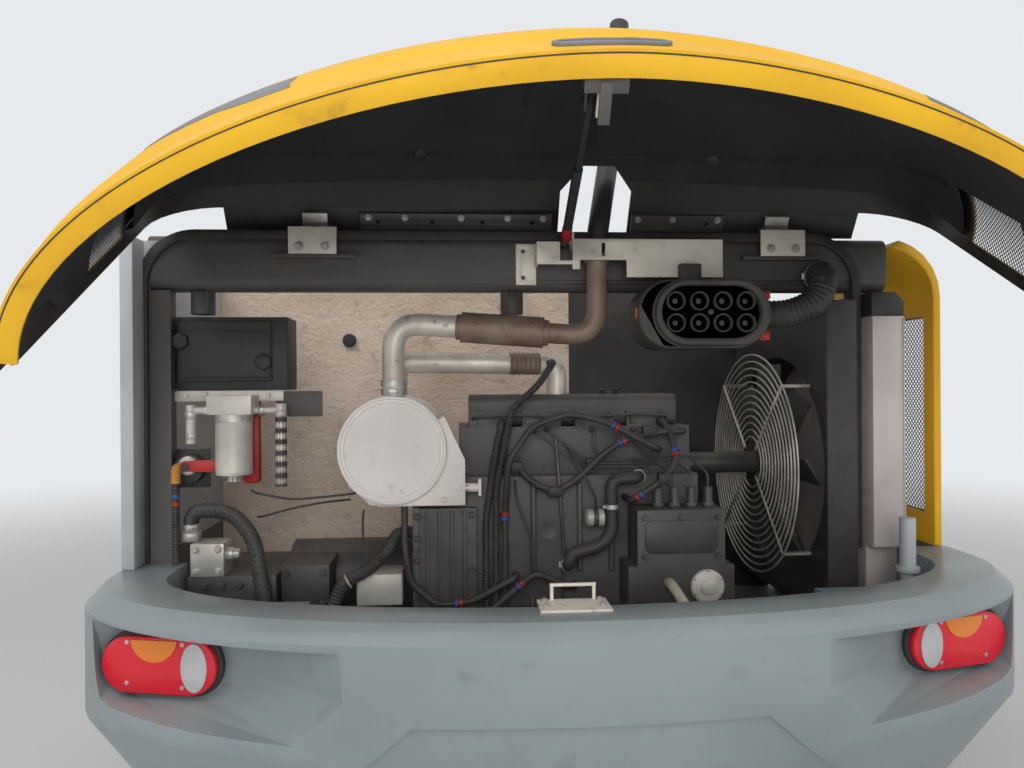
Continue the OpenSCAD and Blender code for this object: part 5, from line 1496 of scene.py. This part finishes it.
@dataclass
class LeftEquipment(Assembly):
    """Relay box, fuel filter, battery isolator and hydraulics on the left."""

    pressure: Sequence[Point] = ((-978, 604, 56.3), (-978, 604, 138), (-872, 598, 138), (-800, 560, 72),
                                 (-775, 530, -40), (-756, 525, -160), (-756, 525, -279.7))
    returns: Sequence[Point] = ((-604, 556, -279.7), (-604, 556, -140), (-574, 560, -52), (-500, 572, -24),
                                (-450, 600, 26), (-432, 650, 60), (-388.3, 650, 60))
    relay_width: float = 298.0
    coil_pitch: float = 15.0
    coil_step: float = 3.0

    def relay(self) -> None:
        """Relay box with its cover and knobs."""
        self.round_off(PLASTIC, 7.0, "relay_box")
        (x0, y, z0), (x1, _, z1) = (drawn(corner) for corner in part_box("relay_box"))
        x0 = max(x0, x1 - self.relay_width)
        self.put("relay_cover", PLASTIC, box((x0 + 6, y - 6, z0 + 24), (x1 - 41, y + 4, z1 - 10), 4))
        self.put("relay_knobs", PLASTIC, *[
            turned((x, y - 5.8, z), BACK, [(0, 25), (10, 25), (14, 20), (14, 5)], 6, 2.0)
            for x, z in ((x0 + 14, z1 - 66), (x1 - 62, z0 + 76))])
        wide, tall = x1 - x0 - 60, 126
        self.put("relay_cover_step", PLASTIC, prism([(0, 0), (wide, 0), (wide, tall), (0, tall)],
                                                    (x0 + 16, y - 5.8, z0 + 34), ACROSS, UP, 5, 3.0))

    def filter(self) -> None:
        """Fuel filter: bracket, die-cast head, bowl with a ring, elbows and hoses."""
        self.round_off(ALUMINIUM, 1.5, "fuel_filter")
        self.put("filter_ring", STEEL, band((-862, 600, 376), UP, 44, 50, 20.3, 16, round_by=0.6),
                 slot="bowl_metal")
        bowl = turned((-862, 600, 232), UP, [(0, 22), (4, 40), (10, 47.6), (144, 47.6)], 40)
        self.put("filter_bowl", ALUMINIUM, bowl)
        plug = turned((-862, 600, 212), UP, [(0, 14), (4, 18.4), (16, 18.4), (22, 16)], 8, 0.6)
        self.put("filter_drain", PLASTIC, plug)
        self.put("filter_red_tank", RED_PLASTIC, box((-852, 640, 204), (-806, 672, 440), 9),
                 slot="hose_rubber")
        hose = tube([(-738, 600, z) for z in (200.5, 300, 396)], 15.8, 10, 20, wave=0.05, pitch=30)
        self.put("filter_outlet_hose", HOSE, hose)
        self.put("filter_unions", STEEL, *[
            turned(place, way, [(0, wide), (long, wide), (long + 2, tip)], 6, 1) for place, way, long, wide,
            tip in (
                ((-738, 600, 388), UP, 16, 18, 15), ((-974, 600, 384), UP, 20, 17, 14),
                ((-974, 600, 330), UP, 14, 15.5, 14), ((-940, 600, 406), ACROSS, 14, 15, 12),
                ((-796, 600, 406), ACROSS, 14, 15, 12))])
        self.put("filter_side_plate", FRAME_BLACK, box((-762, 646.2, 386), (-636, 652, 456), 1.5))
        self.bolted("filter_bolts", STEEL, [(-1000, 640, 444), (-950, 640, 450), (-780, 640, 444)], 6)

    def isolator(self) -> None:
        """Battery isolator with its key and yellow elbow."""
        slot = "isolator_black"
        self.round_off(PLASTIC, 1.5, "battery_isolator", slot=slot)
        key = prism([(-10, -10), (72, -14), (84, -6), (84, 12), (70, 20), (-10, 16)], (-986, 590, 256),
                    ACROSS, UP, 9, 2.0)
        collar = turned((-984, 606, 258), BACK, [(0, 26), (5, 26), (8, 22), (8, 14), (20, 13), (20, 3)], 24)
        elbow = tube(((-1008, 604, 254), (-1008, 582, 254), (-1008, 580, 214)), 13, 20, 16)
        for name, finish, piece in (("collar", STEEL, collar), ("key", RED_PLASTIC, key),
                                    ("elbow", AMBER_PLASTIC, elbow)):
            self.put(f"isolator_{name}", finish, piece, slot=slot)

    def hydraulics(self) -> None:
        """Pump and valve body with bolts, steel block with nuts, and the return hose."""
        self.round_off(PUMP_BLACK, 5.0, "hydraulic_pump")
        self.round_off(STEEL, 2.0, "hydraulic_block")
        self.round_off(ALUMINIUM, 4.0, "steering_pump")
        self.round_off(BEIGE, 0.0, "drain_pipe")
        self.bolted("block_bolts", STEEL, [(x, 561.7, z) for x in (-952, -894) for z in (-16, 42)])
        self.put("hydraulic_nuts", STEEL, *[turned(place, way, steps, 6, 1) for place, way, steps in (
            ((-978, 604, 58), UP, [(0, 27), (22, 27), (24, 24)]),
            ((-978, 604, 82), UP, [(0, 24), (18, 24), (22, 21)]),
            ((-880, 596, 22), ACROSS, [(0, 19), (16, 19), (18, 15), (34, 15)]),
            ((-756, 525, -240), UP, [(0, 26), (26, 26), (28, 23)]))])
        self.wrapped_hose()
        hose = tube(self.returns, 17.8, 40, 20, wave=0.14, pitch=9)
        self.put("return_hose_ribbed", HOSE, hose, replaced="return_hose")
        self.put("hose_ties", BEIGE, band((-560, 561, -52), (0.9, 0.2, 0.5), 19, 20, 5.3, 20),
                 slot="hose_rubber")
        case = [(-930 + 46 * k, 559.8, -52) for k in range(4)]
        self.bolted("hydraulic_pump_bolts", DULL, case, 9, slot="pump_black")
        valve = [(x, 577.8, z) for x in (-722, -625) for z in (-30, -112)]
        self.bolted("valve_body_bolts", DULL, valve, slot="pump_black")

    def wrapped_hose(self) -> None:
        """Pressure hose in a spiral guard."""
        route = even_route(rounded_route(self.pressure, 60, 8), self.coil_step)
        coil = []
        for k, p in enumerate(route[:-6]):
            way = (route[k + 1] - p).normalized()
            side = way.cross(Vector((0.3, 1, 0.2))).normalized()
            a = math.tau * k * self.coil_step / self.coil_pitch
            coil.append(p + (side * math.cos(a) + way.cross(side) * math.sin(a)) * 19.6)
        self.put("pressure_hose_wrapped", HOSE, tube(self.pressure, 19.4, 60, 20),
                 tube(coil, 2.6, 0.01, 8, steps=1), replaced="pressure_hose")

    def build(self) -> None:
        """Builds the equipment."""
        for step in (self.relay, self.filter, self.isolator, self.hydraulics):
            step()


@dataclass
class Wiring(Assembly):
    """Corrugated conduits and the engine's taped harness, with ties and plugs."""

    conduit: float = 10.6
    loom: float = 10.0
    conduits: Sequence[Sequence[Point]] = (
        ((-187, 628, -279.7), (-187, 628, 100), (-156, 628, 300), (-141, 628, 362), (-141, 661.7, 362)),
        ((-162, 625, -279.7), (-158, 625, 180), (-112, 618, 410), (-46, 618, 458), (6, 628, 532),
         (6, 728, 532)),
        ((-1008, 605.7, 254), (-1008, 580, 254), (-1008, 580, 0.3)),
    )
    looms: Sequence[Sequence[Point]] = (
        ((-136, 624, -279.7), (-134, 622, 120), (-126, 582, 262), (-60, 582, 356), (40, 582, 390),
         (140, 582, 368), (215, 582, 328), (276, 582, 296), (300, 604, 286), (300, 659.7, 286)),
        ((-100, 659.7, 244), (-100, 604, 244), (-56, 604, 196), (5, 604, 171), (61, 604, 202),
         (141, 604, 277), (197, 604, 313), (301, 604, 336), (372, 604, 336), (372, 659.7, 336)),
        ((312, 661.7, 362), (312, 634, 362), (326, 600, 340), (336, 562, 262), (292, 536, 212),
         (250, 534, 184), (205, 546, 152), (205, 639.7, 152)),
        ((-410, 612, 141.7), (-410, 612, 100), (-410, 600, 60), (-405, 585, 0), (-391, 590, -70),
         (-322, 588, -128), (-227, 590, -121), (-104, 606, -62), (-104, 639.7, -62)),
        ((-236, 562, -279.7), (-236, 562, -190), (-150, 574, -120), (-54, 590, -46), (4, 594, -72),
         (60, 604, -92), (60, 639.7, -92)),
    )
    wires: Sequence[Sequence[Point]] = (
        ((-827, 640, 186), (-811, 612, 182), (-711, 604, 163), (-631, 604, 169), (-538, 612, 176),
         (-500, 640, 200)),
        ((-811, 640, 112), (-790, 612, 118), (-711, 604, 140), (-631, 606, 154), (-560, 640, 156)),
        ((-524, 640, 124), (-524, 610, 100), (-521, 604, 31)),
        ((-104, 640, 200), (-104, 600, 150), (-60, 596, 40), (-60, 600, -40)),
        ((118, 612, 122), (118, 596, 150), (90, 594, 210), (60, 604, 260), (40, 655, 300)),
    )
    tapes: Sequence[tuple[int, float]] = (
        (0, 0.34), (0, 0.8), (1, 0.25), (1, 0.62), (2, 0.3), (2, 0.7), (3, 0.62), (4, 0.55))

    def build(self) -> None:
        """Builds the wiring."""
        made = [tube(route, self.conduit, 40, 16, wave=0.18, pitch=7.5) for route in self.conduits]
        self.put("ribbed_conduits", HOSE, *made, replaced="wiring_conduits")
        made = [tube(route, self.loom, 26, 16, wave=0.16, pitch=7.5) for route in self.looms]
        self.put("taped_looms", HOSE, *made, replaced="engine_harness")
        self.ties()
        self.put("loose_wires", HOSE, *[tube(route, 3.2, 30, 8) for route in self.wires])

    def ties(self) -> None:
        """Blue and red tape on the left conduit and the looms, and plugs on the looms."""
        tapes = (("blue", BLUE_TAPE, 176, 0), ("red", RED_PLASTIC, 156, 4))
        for name, finish, z, _ in tapes:
            tape = band((-1008, 580, z), UP, 9.6, 10.6, 9.3, 20)
            self.put(f"conduit_tape_{name}", finish, tape, slot="hose_rubber")
        for name, finish, _, shift in tapes:
            bands = []
            for number, share in self.tapes:
                route = even_route(rounded_route(self.looms[number], 26), 3.0)
                k = int(share * len(route)) + shift
                bands.append(band(route[k], route[k + 1] - route[k], 11.2, 12.0, 8.3, 18))
            self.put(f"loom_tape_{name}", finish, *bands, slot="hose_rubber")
        self.put("loom_plugs", PLASTIC, *[box(low, high, 3) for low, high in (
            ((-16, 592, 160), (26, 616, 186)), ((250, 590, 324), (288, 618, 352)),
            ((-118, 592, 232), (-84, 616, 258)), ((276, 524, 196), (306, 550, 226)))], slot="hose_rubber")


# Floor, lights and camera


def seen_rays(path: dict[str, Sock]) -> Sock:
    """One for camera, glossy and transmission rays, of a Light Path node's outputs, else nought."""
    return (path["Is Camera Ray"] + path["Is Glossy Ray"] + path["Is Transmission Ray"]).ramp(0.0, 1.0)


@dataclass
class Studio:
    """Pale floor and backdrop, soft lamps, and the camera at the photo's angle."""

    camera_place: Point = (-0.261, -2.855, 0.8215)
    lens: float = 27.03
    yaw: float = -4.0
    roll: float = 0.4
    floor_z: float = -0.36
    pale: Colour = (0.80, 0.82, 0.84)
    look_at: Point = (0, -0.8, 0.8)
    floor_size: float = 200.0
    floor_fade: tuple[float, float] = (2.5, 9.0)
    lamps: Sequence[tuple[str, Point, float, float]] = (
        ("key_lamp", (-2.4, -3.4, 5.0), 3.5, 85.0),
        ("fill_lamp", (3.6, -3.4, 3.4), 3.5, 35.0),
        ("bay_lamp", (-0.4, -4.4, 1.6), 1.8, 42.0),
    )

    def build(self) -> None:
        """Builds the surroundings."""
        self.world()
        self.floor()
        for name, place, size, power in self.lamps:
            self.lamp(name, place, size, power)
        self.camera()

    def world(self) -> None:
        """Pale surroundings that light softly and show white to the camera."""
        world = bpy.data.worlds.new("studio_world")
        world.use_nodes = True
        tree = world.node_tree
        path = tree.nodes.new("ShaderNodeLightPath").outputs
        seen = seen_rays({out.name: Sock(tree, out) for out in path})
        soft = tree.nodes["Background"]
        soft.inputs["Color"].default_value = (0.88, 0.89, 0.91, 1)
        soft.inputs["Strength"].default_value = 0.55
        white = tree.nodes.new("ShaderNodeBackground")
        white.inputs["Color"].default_value = (*self.pale, 1)
        mix = tree.nodes.new("ShaderNodeMixShader")
        tree.links.new(seen.out, mix.inputs[0])
        tree.links.new(soft.outputs[0], mix.inputs[1])
        tree.links.new(white.outputs[0], mix.inputs[2])
        tree.links.new(mix.outputs[0], tree.nodes["World Output"].inputs["Surface"])
        bpy.context.scene.world = world
        bpy.context.scene.view_settings.view_transform = "Standard"

    def floor(self) -> None:
        """Plain pale floor that fades into the surroundings' colour far out."""
        clear_selection()
        bpy.ops.mesh.primitive_plane_add(size=self.floor_size, location=(0, 0, self.floor_z))
        floor = apply_place(bpy.context.object)
        floor.name = "studio_floor"
        paint = Painter("studio_floor")
        paint.feed("Base Color", (0.72, 0.72, 0.71))
        paint.feed("Roughness", 0.9)
        far = paint.node("ShaderNodeVectorMath", {"operation": "LENGTH"}, {0: paint.place})["Value"]
        far = far.ramp(*self.floor_fade)
        seen = seen_rays(paint.node("ShaderNodeLightPath"))
        glow = paint.node("ShaderNodeEmission", {}, {"Color": (*self.pale, 1)})["Emission"]
        lit = Sock(paint.tree, paint.shader.outputs[0])
        both = paint.node("ShaderNodeMixShader", {}, {0: far * seen, 1: lit, 2: glow})["Shader"]
        paint.tree.links.new(both.out, paint.tree.nodes["Material Output"].inputs["Surface"])
        floor.data.materials.append(paint.material)

    def lamp(self, name: str, place: Point, size: float, power: float) -> None:
        """One soft square lamp that looks at the bay."""
        data = bpy.data.lights.new(name, "AREA")
        data.size = size
        data.energy = power
        obj = bpy.data.objects.new(name, data)
        bpy.context.scene.collection.objects.link(obj)
        way = Vector(self.look_at) - Vector(place)
        obj.matrix_world = Matrix.Translation(place) @ way.to_track_quat("-Z", "Y").to_matrix().to_4x4()

    def camera(self) -> None:
        """Camera at the photo's place and angle."""
        data = bpy.data.cameras.new("camera")
        data.lens = self.lens
        data.sensor_width = 36
        obj = bpy.data.objects.new("camera", data)
        bpy.context.scene.collection.objects.link(obj)
        obj.location = self.camera_place
        obj.rotation_euler = (math.radians(90), math.radians(self.roll), math.radians(self.yaw))
        bpy.context.scene.camera = obj


def main() -> None:
    """Builds everything in order."""
    logging.basicConfig(level=logging.INFO, format="%(name)s: %(message)s")
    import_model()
    Studio().build()
    for assembly in (Counterweight(), TailLamp(side=Side.LEFT), TailLamp(side=Side.RIGHT), TailFrame(),
                     Hood(), HoodStay(), Engine(), Cooling(), Exhaust(), AirIntake(), LeftEquipment(),
                     Wiring()):
        assembly.build()
        LOG.info("%s done", type(assembly).__name__)


if __name__ == "__main__":
    main()
